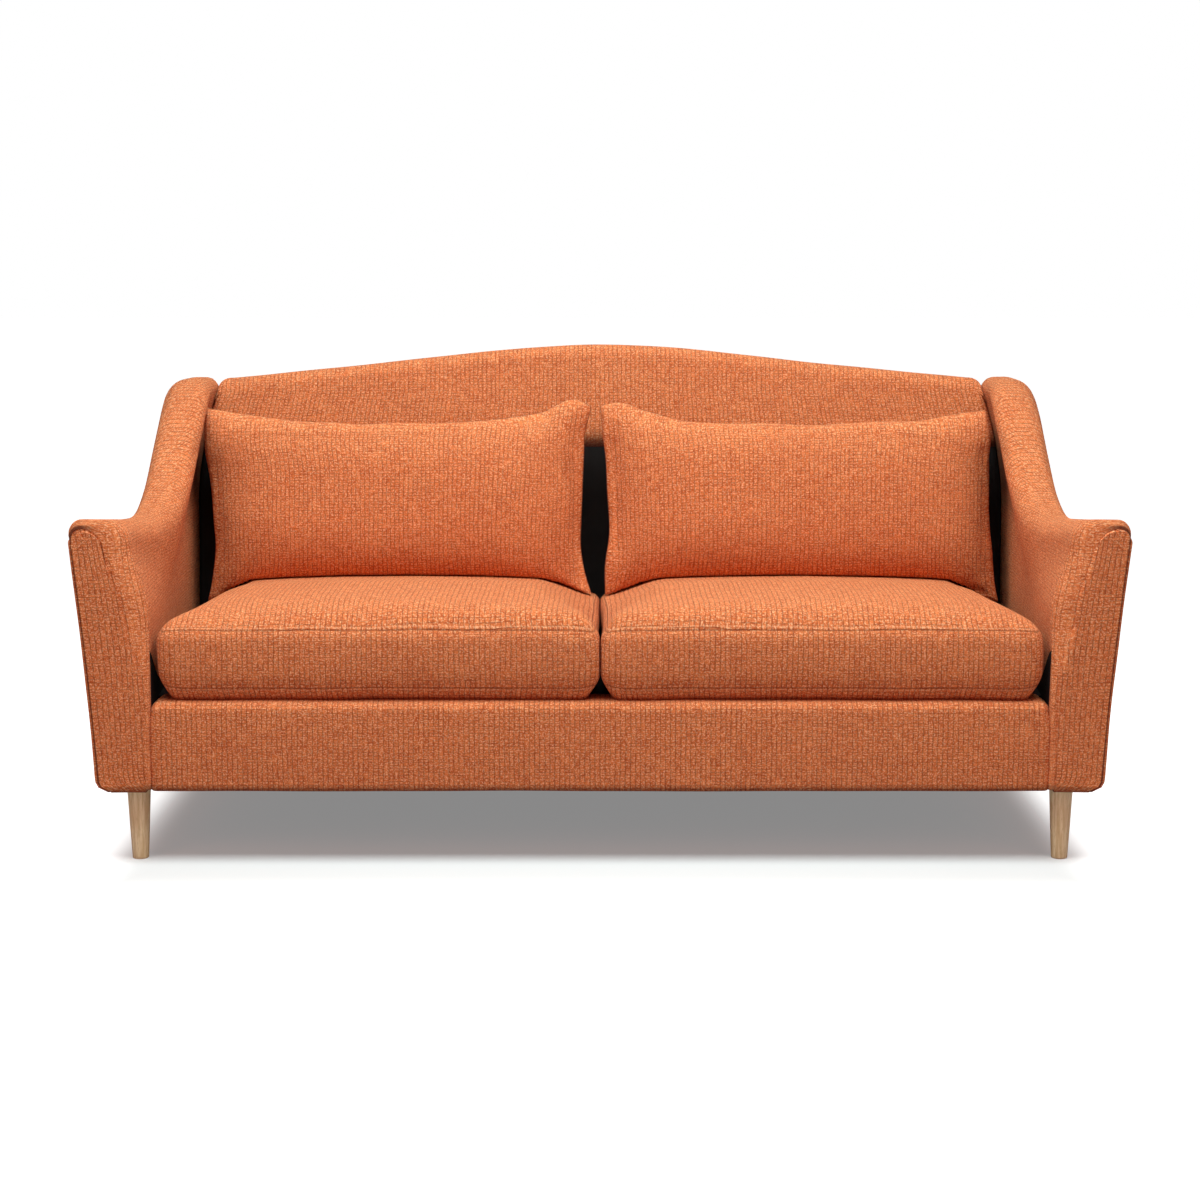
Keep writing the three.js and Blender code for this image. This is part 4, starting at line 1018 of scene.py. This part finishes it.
# Loose cushions: shapes first, then inflated by simulation, then set in place
FRAMES = 20
CLOTH_STIFFNESS = {
    "quality": 5,
    "mass": 0.3,
    "tension_stiffness": 30,
    "compression_stiffness": 30,
    "shear_stiffness": 12,
    "bending_stiffness": 0.6,
    "use_pressure": True,
}


def inflate(piece, pressure, cap, wall_share=1.0):
    """Blows the cushion up from inside with cloth simulation; no point moves further than the cap.

    Side walls, which have a seam on both long edges, keep only their share of the move.
    """
    rest = coordinates(piece.data)
    cloth = piece.modifiers.new("cloth", "CLOTH")
    for key, value in CLOTH_STIFFNESS.items():
        setattr(cloth.settings, key, value)
    cloth.settings.uniform_pressure_force = pressure
    cloth.settings.effector_weights.gravity = 0
    cloth.collision_settings.use_collision = False
    cloth.point_cache.frame_start = 1
    cloth.point_cache.frame_end = FRAMES
    for step in range(1, FRAMES + 1):
        scene.frame_set(step)
    graph = bpy.context.evaluated_depsgraph_get()
    shift = coordinates(piece.evaluated_get(graph).data) - rest
    piece.modifiers.clear()
    scene.frame_set(1)
    length = np.linalg.norm(shift, axis=1, keepdims=True)
    limit = cap * np.tanh(length / cap) / np.maximum(length, 1e-9)
    kept = eased(1, wall_share, (stored(piece.data, "seam") + 0.012) / 0.018)[:, None]
    set_coordinates(piece.data, rest + shift * limit * kept)


def smoother(piece):
    modifier = piece.modifiers.new("smooth", "SUBSURF")
    modifier.levels = modifier.render_levels = 1
    settle(piece)
    piece.data.shade_smooth()


def outline_side(count, half_a, half_b, corner, draw):
    """One side of a rounded rectangle from corner middle to corner middle, drawn in between."""
    arc = math.pi / 4 * corner
    straight = 2 * (half_a - corner)
    total = straight + 2 * arc
    along = []
    for run in np.linspace(0, total, count + 1):
        if arc <= run <= total - arc:
            share = (run - arc) / straight
            along.append((-half_a + corner + straight * share, half_b - draw * math.sin(math.pi * share)))
            continue
        way = -1 if run < arc else 1
        angle = math.pi / 4 - run / corner if way < 0 else (run - total + arc) / corner
        hub = half_a - corner
        rise = half_b - corner + corner * math.cos(angle)
        along.append((way * hub + way * corner * math.sin(angle), rise))
    return np.array(along)


def outline_gap(points, ring):
    """Distance of points from a closed outline, measured to its straight pieces."""
    start, step = ring, np.roll(ring, -1, 0) - ring
    away = points[..., None, :] - start
    share = np.clip((away * step).sum(-1) / (step * step).sum(-1), 0, 1)
    return np.linalg.norm(away - share[..., None] * step, axis=-1).min(-1)


def relax(piece, reach, rounds):
    """Rounds the cushion over its seams by drawing the points there towards their neighbours."""
    mesh = piece.data
    points = coordinates(mesh)
    ends = np.zeros(len(mesh.edges) * 2, np.int32)
    mesh.edges.foreach_get("vertices", ends)
    a, b = ends.reshape(-1, 2).T
    degree = np.bincount(np.concatenate([a, b]), minlength=len(points))[:, None]
    weight = 0.5 * eased(1, 0, np.abs(stored(mesh, "seam")) / reach)[:, None]
    for _ in range(rounds):
        total = np.zeros_like(points)
        np.add.at(total, a, points[b])
        np.add.at(total, b, points[a])
        points += weight * (total / degree - points)
    set_coordinates(mesh, points)


def fitted(piece, half_x, half_y):
    """Brings a swollen cushion back to its cut width and depth."""
    points = coordinates(piece.data)
    for axis, half in ((0, half_x), (1, half_y)):
        low, high = points[:, axis].min(), points[:, axis].max()
        points[:, axis] = (points[:, axis] - (low + high) / 2) * (2 * half / (high - low))
    set_coordinates(piece.data, points)


# Seat cushions, as cut and as simulated
SEAT_WIDTH = 0.834
SEAT_DEPTH = 0.757
SEAT_MID_GAP = 0.005
SEAT_SETBACK = 0.005
SEAT_CORNER = 0.026
SEAT_REACH = 0.009
SEAT_TUCK = 0.034
SEAT_BOXING = 0.108
SEAT_CROWN = 0.047
SEAT_BULGE = 0.004
SEAT_DRAW_IN = 0.006
SEAT_SLIM = 0.004
SEAT_STEPS = (74, 68)
SEAT_DOME_REACH = 0.240
SEAT_TUCK_REACH = 0.046
SEAT_TOP = SEAT_TUCK + SEAT_BOXING
SEAT_PRESSURE = 3.2
SEAT_CAP = 0.006
SEAT_WALL_SHARE = 0.4
SEAT_RELAX_REACH = 0.020
SEAT_RELAX_ROUNDS = 7

# Seat cushions as they lie: the crown falls to the back, and the sides slump and draw in
CROWN_PEAK = -0.064
CROWN_RUN = 0.270
CROWN_FALL = 0.55
CROWN_EXTRA = 0.004
CROWN_BROAD = 0.014
CROWN_FALL_POWER = 1.25
SHOULDER_OUTER = 1.45
SHOULDER_INNER = 3.0
SLUMP_START = -0.360
SLUMP_RUN = 0.300
SLUMPS = ((1, 0.13, 0.080), (-1, 0.23, 0.140))
SIDE_TAPER = 0.034
TAPER_START = -0.300
TAPER_RUN = 0.380
INNER_TAPER = 0.0045


def box_cushion(name):
    """A cushion as cut: domed top, bottom that tucks under, and bulging boxing between them."""
    half_x, half_y = (size / 2 - SEAT_BULGE - SEAT_SLIM for size in (SEAT_WIDTH, SEAT_DEPTH))
    rear = outline_side(SEAT_STEPS[0], half_x, half_y, SEAT_CORNER, SEAT_DRAW_IN)
    east = outline_side(SEAT_STEPS[1], half_y, half_x, SEAT_CORNER, SEAT_DRAW_IN)[:, ::-1]
    front, west = rear * (1, -1), east * (-1, 1)
    flat = coons(west, east, front, rear)
    ring = np.concatenate([front[:-1], east[:-1], rear[::-1][:-1], west[::-1][:-1]])
    gap = outline_gap(flat, ring)
    gap[gap < WELD] = 0
    dome = (1 - (1 - np.clip(gap / SEAT_DOME_REACH, 0, 1)) ** 2.4) ** 0.70
    crown = SEAT_TOP + (SEAT_CROWN - SEAT_SLIM) * dome
    tuck = SEAT_TUCK * (1 - np.clip(gap / SEAT_TUCK_REACH, 0, 1)) ** 3.2
    sewing = Sewing()
    for height, flip in ((crown, False), (tuck, True)):
        points = np.concatenate([flat, height[..., None]], -1)
        sewing.patch(points, flat, -np.minimum(gap, SEAM_FAR), stitch=1.0, flip=flip)

    normal = np.roll(ring, -1, 0) - np.roll(ring, 1, 0)
    normal = paired(normal[:, 1], -normal[:, 0])
    normal /= np.linalg.norm(normal, axis=1, keepdims=True)
    outward = ring / np.linalg.norm(ring, axis=1, keepdims=True)
    normal *= np.sign((normal * outward).sum(1, keepdims=True))
    run = joined_runs(ring)
    start, level = run[SEAT_STEPS[0] // 2], np.ones(len(ring))
    walls, uvs, seams = [], [], []
    for share in np.linspace(0, 1, 13):
        out = ring + normal * (SEAT_BULGE * math.sin(math.pi * share) ** 0.8 if 0 < share < 1 else 0)
        walls.append(paired(*out.T, level * (SEAT_TUCK + SEAT_BOXING * share)))
        uvs.append(paired(run - start, level * (-half_y - (1 - share) * SEAT_BOXING)))
        seams.append(level * min(SEAM_FAR, SEAT_BOXING * min(share, 1 - share)))
    walls, uvs = np.array(walls), np.array(uvs)
    close_uv = uvs[:, :1] + np.array([run[-1] + np.linalg.norm(ring[0] - ring[-1]), 0])
    uvs = np.concatenate([uvs, close_uv], 1)
    sewing.patch(walls, uvs, np.array(seams), stitch=1.0, around=True)
    return sewing.piece(name)


def swell(cushion, seed):
    """Simulates a cut cushion, rounds its seams and brings it back to its size."""
    inflate(cushion, SEAT_PRESSURE, SEAT_CAP, SEAT_WALL_SHARE)
    relax(cushion, SEAT_RELAX_REACH, SEAT_RELAX_ROUNDS)
    fitted(cushion, (SEAT_WIDTH + SEAT_REACH) / 2, SEAT_DEPTH / 2)
    points = coordinates(cushion.data)
    over = points[:, 2] > SEAT_TOP
    points[over, 2] = SEAT_TOP + (points[over, 2] - SEAT_TOP) * (SEAT_CROWN / (points[:, 2].max() - SEAT_TOP))
    set_coordinates(cushion.data, points)
    smoother(cushion)
    points = coordinates(cushion.data)
    points[:, 2] = np.maximum(points[:, 2], 0.0)
    set_coordinates(cushion.data, points)
    press(cushion, seed, 0.24, 0.0011)


def seat_cushion(name, seed, side):
    """A box cushion in the shape that it has on the sofa."""
    cushion = box_cushion(name)
    swell(cushion, seed)
    x, y, z = coordinates(cushion.data).T
    half = SEAT_WIDTH / 2
    over = np.maximum(z - SEAT_TOP, 0) / SEAT_CROWN
    inward = eased(0, 1, 0.5 - side * x / SEAT_WIDTH)
    fullness = SHOULDER_OUTER + (SHOULDER_INNER - SHOULDER_OUTER) * inward
    rounder = 1 - (1 - np.clip(over, 0, 1)) ** fullness
    fall = np.clip((y - CROWN_PEAK) / CROWN_RUN, 0, 1.15) ** CROWN_FALL_POWER
    broad = CROWN_BROAD * (2 * x / SEAT_WIDTH) ** 2
    crown = (SEAT_CROWN + CROWN_EXTRA) * (1 - CROWN_FALL * fall) - broad
    z = np.maximum(np.minimum(z, SEAT_TOP) + crown * rounder, 0.0)
    to_back = eased(0, 1, (y - SLUMP_START) / SLUMP_RUN)
    for way, share, reach in SLUMPS:
        z = z * (1 - share * to_back * eased(1, 0, (half - way * side * x) / reach))
    outer = np.clip(side * x / half, 0, 1) ** 3
    x = x - side * SIDE_TAPER * outer * eased(0, 1, (y - TAPER_START) / TAPER_RUN)
    x = x - side * INNER_TAPER * np.clip(-side * x / half, 0, 1) ** 6
    limit_x, limit_y = (SEAT_WIDTH + SEAT_REACH) / 2 + 0.0015, SEAT_DEPTH / 2 + 0.004
    x, y = np.clip(x, -limit_x, limit_x), np.clip(y, -limit_y, limit_y)
    middle = side * (SEAT_MID_GAP / 2 + (SEAT_WIDTH + SEAT_REACH) / 2)
    shift = middle, FRONT_Y + SEAT_SETBACK + SEAT_DEPTH / 2, DECK + FIT
    set_coordinates(cushion.data, paired(x, y, z))
    set_coordinates(cushion.data, coordinates(cushion.data) + shift)
    return cushion


cushions = {}
for side, hand in ((1, "right"), (-1, "left")):
    seat = seat_cushion(f"seat_cushion_upholstery_{hand}", 41 + side, side)
    finished(seat, "cloth", f"seat_cushion_{hand}", f"seat_cushion_cover_{hand}", f"seat_cushion_core_{hand}")
    cushions["seat", hand] = seat


# Pillow outlines as measured, from the outer corner to the inner one and from the foot to the top
PILLOW_WIDTH = 0.824
PILLOW_HEIGHT = 0.372
PILLOW_DEPTH = 0.190
PILLOW_SLIM = 0.004
PILLOW_SAG = 0.014
PILLOW_FOOT = 0.440
PILLOW_CORNER_DROP = 0.034
PILLOW_EAR = 0.824
PILLOW_CENTRE_Z = 0.660
PILLOW_STEPS = (84, 44)
PILLOW_LOW_POWER = 2.2
PILLOW_HIGH_POWER = 4.6
PILLOW_PRESSURE = 3.0
PILLOW_CAP = 0.014
PILLOW_TOP_EDGE = {
    "left": (
        [-1, -0.776, -0.512, -0.254, 0.027, 0.41, 0.737, 0.938, 1],
        [0.831, 0.8160, 0.8010, 0.7937, 0.7937, 0.8002, 0.8219, 0.8440, 0.828],
    ),
    "right": (
        [-1, -0.876, -0.637, -0.299, 0.142, 0.558, 0.75, 0.92, 1],
        [0.824, 0.8177, 0.8024, 0.7937, 0.7937, 0.8024, 0.8219, 0.8390, 0.830],
    ),
}
PILLOW_OUTER_EDGE = {
    "left": (
        [-1, -0.82, -0.66, -0.42, -0.204, 0.172, 0.387, 0.575, 0.817, 1],
        [0.857, 0.850, 0.8458, 0.8415, 0.8436, 0.848, 0.8545, 0.861, 0.863, 0.863],
    ),
    "right": (
        [-1, -0.957, -0.42, -0.067, 0.462, 0.814, 1],
        [0.869, 0.8676, 0.8567, 0.8524, 0.850, 0.848, 0.838],
    ),
}
PILLOW_INNER_EDGE = {
    "left": (
        [-1, -0.957, -0.753, -0.445, -0.138, 0.585, 0.72, 1],
        [0.0174, 0.0174, 0.0261, 0.0348, 0.0348, 0.0283, 0.028, 0.0174],
    ),
    "right": (
        [-1, -0.957, -0.634, -0.28, 0.168, 0.585, 1],
        [0.0087, 0.0087, 0.0075, 0.0152, 0.0109, 0.0065, 0.001],
    ),
}

# How a pillow meets the back behind it and the seat below it
REST_GAP = 0.0015
REST_SOFT = 0.012
SETTLE_HEIGHT = 0.120
SETTLE_GAP = 0.0010
SETTLE_SOFT = 0.006
SPOT = 0.010
SPOT_REACH = 0.012


def curve(table, places):
    """A smooth curve through a table of places and heights."""
    x, y = np.array(table[0], float), np.array(table[1], float)
    slope = np.gradient(y, x)
    index = np.clip(np.searchsorted(x, places) - 1, 0, len(x) - 2)
    width = x[index + 1] - x[index]
    t = (places - x[index]) / width
    a, b = y[index], y[index + 1]
    c, d = slope[index] * width, slope[index + 1] * width
    return a + t * (c + t * (3 * (b - a) - 2 * c - d + t * (2 * (a - b) + c + d)))


def pillow_plane(height):
    """Where the leaning pillow's middle lies at a height."""
    middle = back_face(PILLOW_CENTRE_Z) - (BACK_CROWN + FIT + PILLOW_DEPTH / 2) / math.cos(BACK_LEAN)
    return middle + (height - PILLOW_CENTRE_Z) * math.tan(BACK_LEAN)


def pillow_places(steps):
    """Places from -1 to 1, a little closer together at the ends."""
    even = np.linspace(-1, 1, steps + 1)
    return 0.5 * even + 0.5 * np.sin(even * math.pi / 2)


def pillow_outline(hand, u, v):
    """The pillow's front view as a grid between its four measured edges."""
    outer, inner = curve(PILLOW_OUTER_EDGE[hand], v), curve(PILLOW_INNER_EDGE[hand], v)
    top = curve(PILLOW_TOP_EDGE[hand], u)
    plain = PILLOW_FOOT + (PILLOW_EAR - PILLOW_FOOT) * (v + 1) / 2
    rise = np.interp(v, [-1, 1], [0, 1])
    drop = PILLOW_CORNER_DROP * (1 - rise)
    foot = PILLOW_FOOT - PILLOW_CORNER_DROP * np.abs(u) ** 3
    low = paired(np.interp(u, [-1, 1], [outer[0], inner[0]]), foot)
    high = paired(np.interp(u, [-1, 1], [outer[-1], inner[-1]]), top)
    first = paired(outer, plain + rise * (top[0] - PILLOW_EAR) - drop)
    last = paired(inner, plain + rise * (top[-1] - PILLOW_EAR) - drop)
    return coons(first, last, low, high)


def pillow_shape(name, side, hand):
    """Two panels joined in a knife edge, leaning as they will lie."""
    u, v = (pillow_places(steps) for steps in PILLOW_STEPS)
    flat = pillow_outline(hand, u, v)
    su, sv = np.broadcast_arrays(u[None, :], v[:, None])
    section = np.where(sv < 0, 1 - np.abs(sv) ** PILLOW_LOW_POWER, 1 - np.abs(sv) ** PILLOW_HIGH_POWER)
    full = (1 - su ** 6) ** 0.5 * section ** 0.55 * (1 - 0.06 * sv)
    depth = (PILLOW_DEPTH / 2 - PILLOW_SLIM) * full
    edge = np.minimum((1 - np.abs(su)) * PILLOW_WIDTH / 2, (1 - np.abs(sv)) * PILLOW_HEIGHT / 2)
    x, height = flat[..., 0] * side, flat[..., 1]
    sewing = Sewing()
    for way in (-1, 1):
        y = pillow_plane(height) + way * depth * math.cos(BACK_LEAN)
        z = height - way * depth * math.sin(BACK_LEAN) - PILLOW_SAG * full * (1 - sv * sv)
        sewing.patch(paired(x, y, z), paired(x, height), np.minimum(edge, SEAM_FAR), flip=way * side > 0)
    return sewing.piece(name)


def hold_outline(piece, rest):
    """Moves a swollen pillow back so that its seam keeps the outline it had at rest."""
    moved = coordinates(piece.data)
    shift = rest - moved
    shift[:, 1] = 0
    column, row = (
        np.rint((stored(piece.data, label) + 1) / 2 * steps).astype(int)
        for label, steps in zip("vu", PILLOW_STEPS)
    )
    grid = np.zeros((PILLOW_STEPS[1] + 1, PILLOW_STEPS[0] + 1, 3))
    grid[row, column] = shift
    whole = coons(grid[:, 0], grid[:, -1], grid[0], grid[-1])
    set_coordinates(piece.data, moved + whole[row, column])


def surface_height(points, places, reach):
    """Height of the cushion's top near each place, from its highest points round about."""
    heights = np.full(len(places), -1.0)
    for i, place in enumerate(places):
        near = (np.abs(points[:, :2] - place) < reach).all(1)
        if near.any():
            heights[i] = points[near, 2].max()
    return heights


def lay_pillow(pillow, seat):
    """Flattens the pillow against the back and lets its foot settle on the seat."""
    x, y, z = coordinates(pillow.data).T
    wall = back_face(z) - BACK_CROWN - REST_GAP
    y = np.where(y > wall - REST_SOFT, wall - REST_SOFT * np.exp(-(y - wall + REST_SOFT) / REST_SOFT), y)
    low = z < PILLOW_FOOT + SETTLE_HEIGHT
    spots = np.round(paired(x[low], y[low]) / SPOT) * SPOT
    spots, inverse = np.unique(spots, axis=0, return_inverse=True)
    floor = surface_height(coordinates(seat.data), spots, SPOT_REACH)[inverse.reshape(-1)] + SETTLE_GAP
    foot, soft = z[low], SETTLE_SOFT
    z[low] = np.where(foot < floor + soft, floor + soft * np.exp((foot - floor - soft) / soft), foot)
    set_coordinates(pillow.data, paired(x, y, z))


for side, hand in ((1, "right"), (-1, "left")):
    pillow = pillow_shape(f"back_pillow_upholstery_{hand}", side, hand)
    at_rest = coordinates(pillow.data)
    inflate(pillow, PILLOW_PRESSURE, PILLOW_CAP)
    hold_outline(pillow, at_rest)
    smoother(pillow)
    press(pillow, 51 + side, 0.20, 0.0014)
    lay_pillow(pillow, cushions["seat", hand])
    finished(
        pillow, "cloth", f"back_cushion_{hand}", f"back_cushion_cover_{hand}", f"back_cushion_pad_{hand}"
    )
    cushions["back", hand] = pillow


# Zips: a coil on its tape along the rear of each cushion
ZIP_HALF_TAPE = 0.011
ZIP_STEP = 0.0025
ZIP_PROFILE = np.array([-ZIP_HALF_TAPE, -0.0035, -0.0022, 0.0022, 0.0035, ZIP_HALF_TAPE])
ZIP_LIFT = np.array([0.0004, 0.0008, 0.0018, 0.0018, 0.0008, 0.0004])
ZIP_TEETH = 0.0004
ZIP_THICKNESS = 0.0008
ZIP_REAR = 0.20
ZIP_SMOOTH = 9
ZIP_NEAR_X = 0.012
ZIP_NEAR_Z = 0.010
ZIP_LENGTH = {"seat": 0.560, "back": 0.380}
ZIP_TRAVEL = {"seat": 0.545, "back": 0.365}


def zip_coil(kind, side, hand):
    """Follows the cushion's rear from end to end of the zip, at its slider's height."""
    low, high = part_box(f"{kind}_zip_slider_{hand}")
    length = ZIP_LENGTH[kind]
    middle = (low.x + high.x) / 2 + side * ZIP_TRAVEL[kind] / 2
    height = (low.z + high.z) / 2
    points = coordinates(cushions[kind, hand].data)
    points = points[points[:, 1] > ZIP_REAR]
    rows = np.array([-ZIP_HALF_TAPE, 0.0, ZIP_HALF_TAPE])
    places = np.linspace(-length / 2, length / 2, int(length / ZIP_STEP) + 1) + middle
    faces = np.zeros((len(places), 3))
    for i, x in enumerate(places):
        near = points[np.abs(points[:, 0] - x) < ZIP_NEAR_X]
        for j, row in enumerate(rows):
            faces[i, j] = near[np.abs(near[:, 2] - height - row) < ZIP_NEAR_Z, 1].max()
    even = np.ones(ZIP_SMOOTH) / ZIP_SMOOTH
    for j in range(3):
        faces[:, j] = np.convolve(np.pad(faces[:, j], ZIP_SMOOTH // 2, mode="edge"), even, mode="valid")
    grid = []
    for i, x in enumerate(places):
        y = np.interp(ZIP_PROFILE, rows, faces[i]) + ZIP_LIFT
        y[2:4] += ZIP_TEETH * (-1) ** i
        grid.append(paired(np.full(6, x), y, height + ZIP_PROFILE))
    grid = np.array(grid)
    made = sheet(f"{kind}_zip_coil_{hand}", grid, grid[..., ::2])
    finished(thick(made, ZIP_THICKNESS), "lining", f"{kind}_cushion_{hand}")


for side, hand in ((1, "right"), (-1, "left")):
    zip_coil("seat", side, hand)
    zip_coil("back", side, hand)


# Legs: turned, tapered oak with a blind hole above for the bolt
LEG_TOP = BASE + 0.0037
LEG_FOOT_RADIUS = 0.0155
LEG_CHAMFER = 0.002
LEG_TOP_CHAMFER = 0.001
LEG_SWELL = 0.53
LEG_HOLE_RADIUS = 0.0043
LEG_HOLE_DEPTH = 0.0253
LEG_STEPS = 48


def leg(node, name):
    low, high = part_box(node)
    centre_x, centre_y = (low.x + high.x) / 2, (low.y + high.y) / 2
    foot, top = LEG_FOOT_RADIUS, (high.x - low.x) / 2
    side_z = np.linspace(LEG_CHAMFER, LEG_TOP - LEG_TOP_CHAMFER, 26)
    taper = np.interp(side_z / LEG_TOP, [0, 0.5, 1], [foot, foot + (top - foot) * LEG_SWELL, top])
    hole_floor = LEG_TOP - LEG_HOLE_DEPTH
    profile = [(0.0, 0.0), (foot - LEG_CHAMFER, 0.0), (foot - LEG_CHAMFER * 0.3, LEG_CHAMFER * 0.3)]
    profile += list(zip(taper, side_z))
    profile += [(top - LEG_TOP_CHAMFER, LEG_TOP), (LEG_HOLE_RADIUS, LEG_TOP)]
    profile += [(LEG_HOLE_RADIUS, hole_floor), (0.0, hole_floor)]
    angles = np.linspace(0, 2 * math.pi, LEG_STEPS, endpoint=False)
    grid = np.array([
        [(centre_x + r * math.cos(a), centre_y + r * math.sin(a), z) for a in angles] for r, z in profile
    ])
    made = sheet(name, grid, np.zeros((len(profile), LEG_STEPS + 1, 2)), around=True)
    made.data.set_sharp_from_angle(angle=math.radians(35))
    finished(made, "oak", "sofa_frame", node)


for end in ("front", "rear"):
    for hand in ("left", "right"):
        leg(f"leg_{end}_{hand}", f"oak_leg_{end}_{hand}")


# Black platform cloth over the springs, dipping a little in its middle
PLATFORM_DIP = 0.0015
PLATFORM_GAP = 0.001
PLATFORM_THICKNESS = 0.0015


def platform_cloth():
    low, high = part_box("seat_deck")
    depths = np.linspace(low.y - FRONT_Y, high.y - FRONT_Y, 60)
    shares = np.linspace(-1, 1, 110)
    x = (arm_inner(depths, DECK) - PLATFORM_GAP)[:, None] * shares
    y = np.broadcast_to((FRONT_Y + depths)[:, None], x.shape)
    dip = PLATFORM_DIP * np.sin(math.pi * (shares + 1) / 2)[None]
    z = high.z - dip * np.sin(math.pi * depths / depths[-1])[:, None]
    made = sheet("platform_cloth", paired(x, y, z), paired(x, y))
    fixed(made, "seat_deck", PLATFORM_THICKNESS, "lining")


platform_cloth()


# Studio: camera where the photograph was taken, soft lamps and a white ground
CAMERA_Y = -4.85
CAMERA_Z = 1.15
CAMERA_PITCH = math.radians(8.264)
CAMERA_LENS = 70.77
COOL_TOP = (0.78, 1.0, 1.0)
WARM_FILL = (1.0, 0.46, 0.34)
WORLD_FILL = (1.0, 0.74, 0.62, 1)
WORLD_STRENGTH = 0.14
FLOOR_COLOUR = (0.57, 0.50, 0.50, 1.0)
FLOOR_REACH = 40.0
FLOOR_GLOW = 0.245

camera_data = bpy.data.cameras.new("camera")
camera_data.lens = CAMERA_LENS
camera_data.sensor_width = 36
camera = placed("camera", camera_data)
camera.location = (0, CAMERA_Y, CAMERA_Z)
camera.rotation_euler = (math.pi / 2 - CAMERA_PITCH, 0, 0)
scene.camera = camera


def lamp(name, size_x, size_y, power, place, target, colour):
    data = bpy.data.lights.new(name, "AREA")
    data.shape = "RECTANGLE"
    data.color = colour
    data.size, data.size_y, data.energy = size_x, size_y, power
    made = placed(name, data)
    made.location = place
    way = np.array(target, float) - np.array(place, float)
    flat = math.hypot(way[0], way[1])
    made.rotation_euler = (math.pi / 2 + math.atan2(way[2], flat), 0, math.atan2(-way[0], way[1]))


lamp("overhead", 3.4, 1.6, 157, (0, -1.05, 3.0), (0, -0.2, 0.3), COOL_TOP)
lamp("front_left", 2.2, 2.2, 19, (-2.6, -3.6, 2.4), (0, 0, 0.5), WARM_FILL)
lamp("front_right", 2.2, 2.2, 16, (2.6, -3.6, 2.4), (0, 0, 0.5), WARM_FILL)


def world():
    """White to the camera and in clear reflections, and a dim warm fill on everything else."""
    n = Nodes(bpy.data.worlds.new("studio"))
    scene.world = n.owner
    fill = n.tree.nodes["Background"]
    seen = n.node("ShaderNodeBackground", (1, 1, 1, 1), 1.0)
    fill.inputs["Color"].default_value = WORLD_FILL
    fill.inputs["Strength"].default_value = WORLD_STRENGTH
    rays = n.node("ShaderNodeLightPath").outputs
    direct = n.most(n.most(rays["Is Camera Ray"], rays["Is Glossy Ray"]), rays["Is Transmission Ray"])
    mix = n.node("ShaderNodeMixShader", direct, fill.outputs[0], seen.outputs[0])
    n.put(n.tree.nodes["World Output"].inputs["Surface"], mix.outputs[0])


world()


def floor():
    """A wide pale ground that the camera sees as white, and that keeps the sofa's shadow."""
    mesh = bpy.data.meshes.new("floor")
    corners = [(x * FLOOR_REACH, y * FLOOR_REACH, 0) for x, y in ((-1, -1), (1, -1), (1, 1), (-1, 1))]
    mesh.from_pydata(corners, [], [(0, 1, 2, 3)])
    n = material("studio_floor")
    n.set(Base_Color=FLOOR_COLOUR, Roughness=1.0, Specular_IOR_Level=0.0)
    x, y, _ = n.split(n.place())
    # Painted light: a camera-only glow, dim round the sofa so its shadow shows, white further out
    beside = n.step(n.size(x), 0.84, 1.02)
    before = n.step(y * -1.0, 0.49, 0.80)
    behind = n.step(y, 0.55, 1.10)
    glow = n.step(n.most(n.most(beside, before), behind), 0.0, 1.0, FLOOR_GLOW, 1.0)
    light = n.node("ShaderNodeEmission")
    n.put(light.inputs["Strength"], glow * n.node("ShaderNodeLightPath").outputs["Is Camera Ray"])
    both = n.node("ShaderNodeAddShader", n.shader.outputs[0], light.outputs[0])
    n.put(n.tree.nodes["Material Output"].inputs["Surface"], both.outputs[0])
    mesh.materials.append(n.owner)
    placed("floor", mesh)


floor()
scene.view_settings.view_transform = "Standard"

bpy.context.view_layer.update()
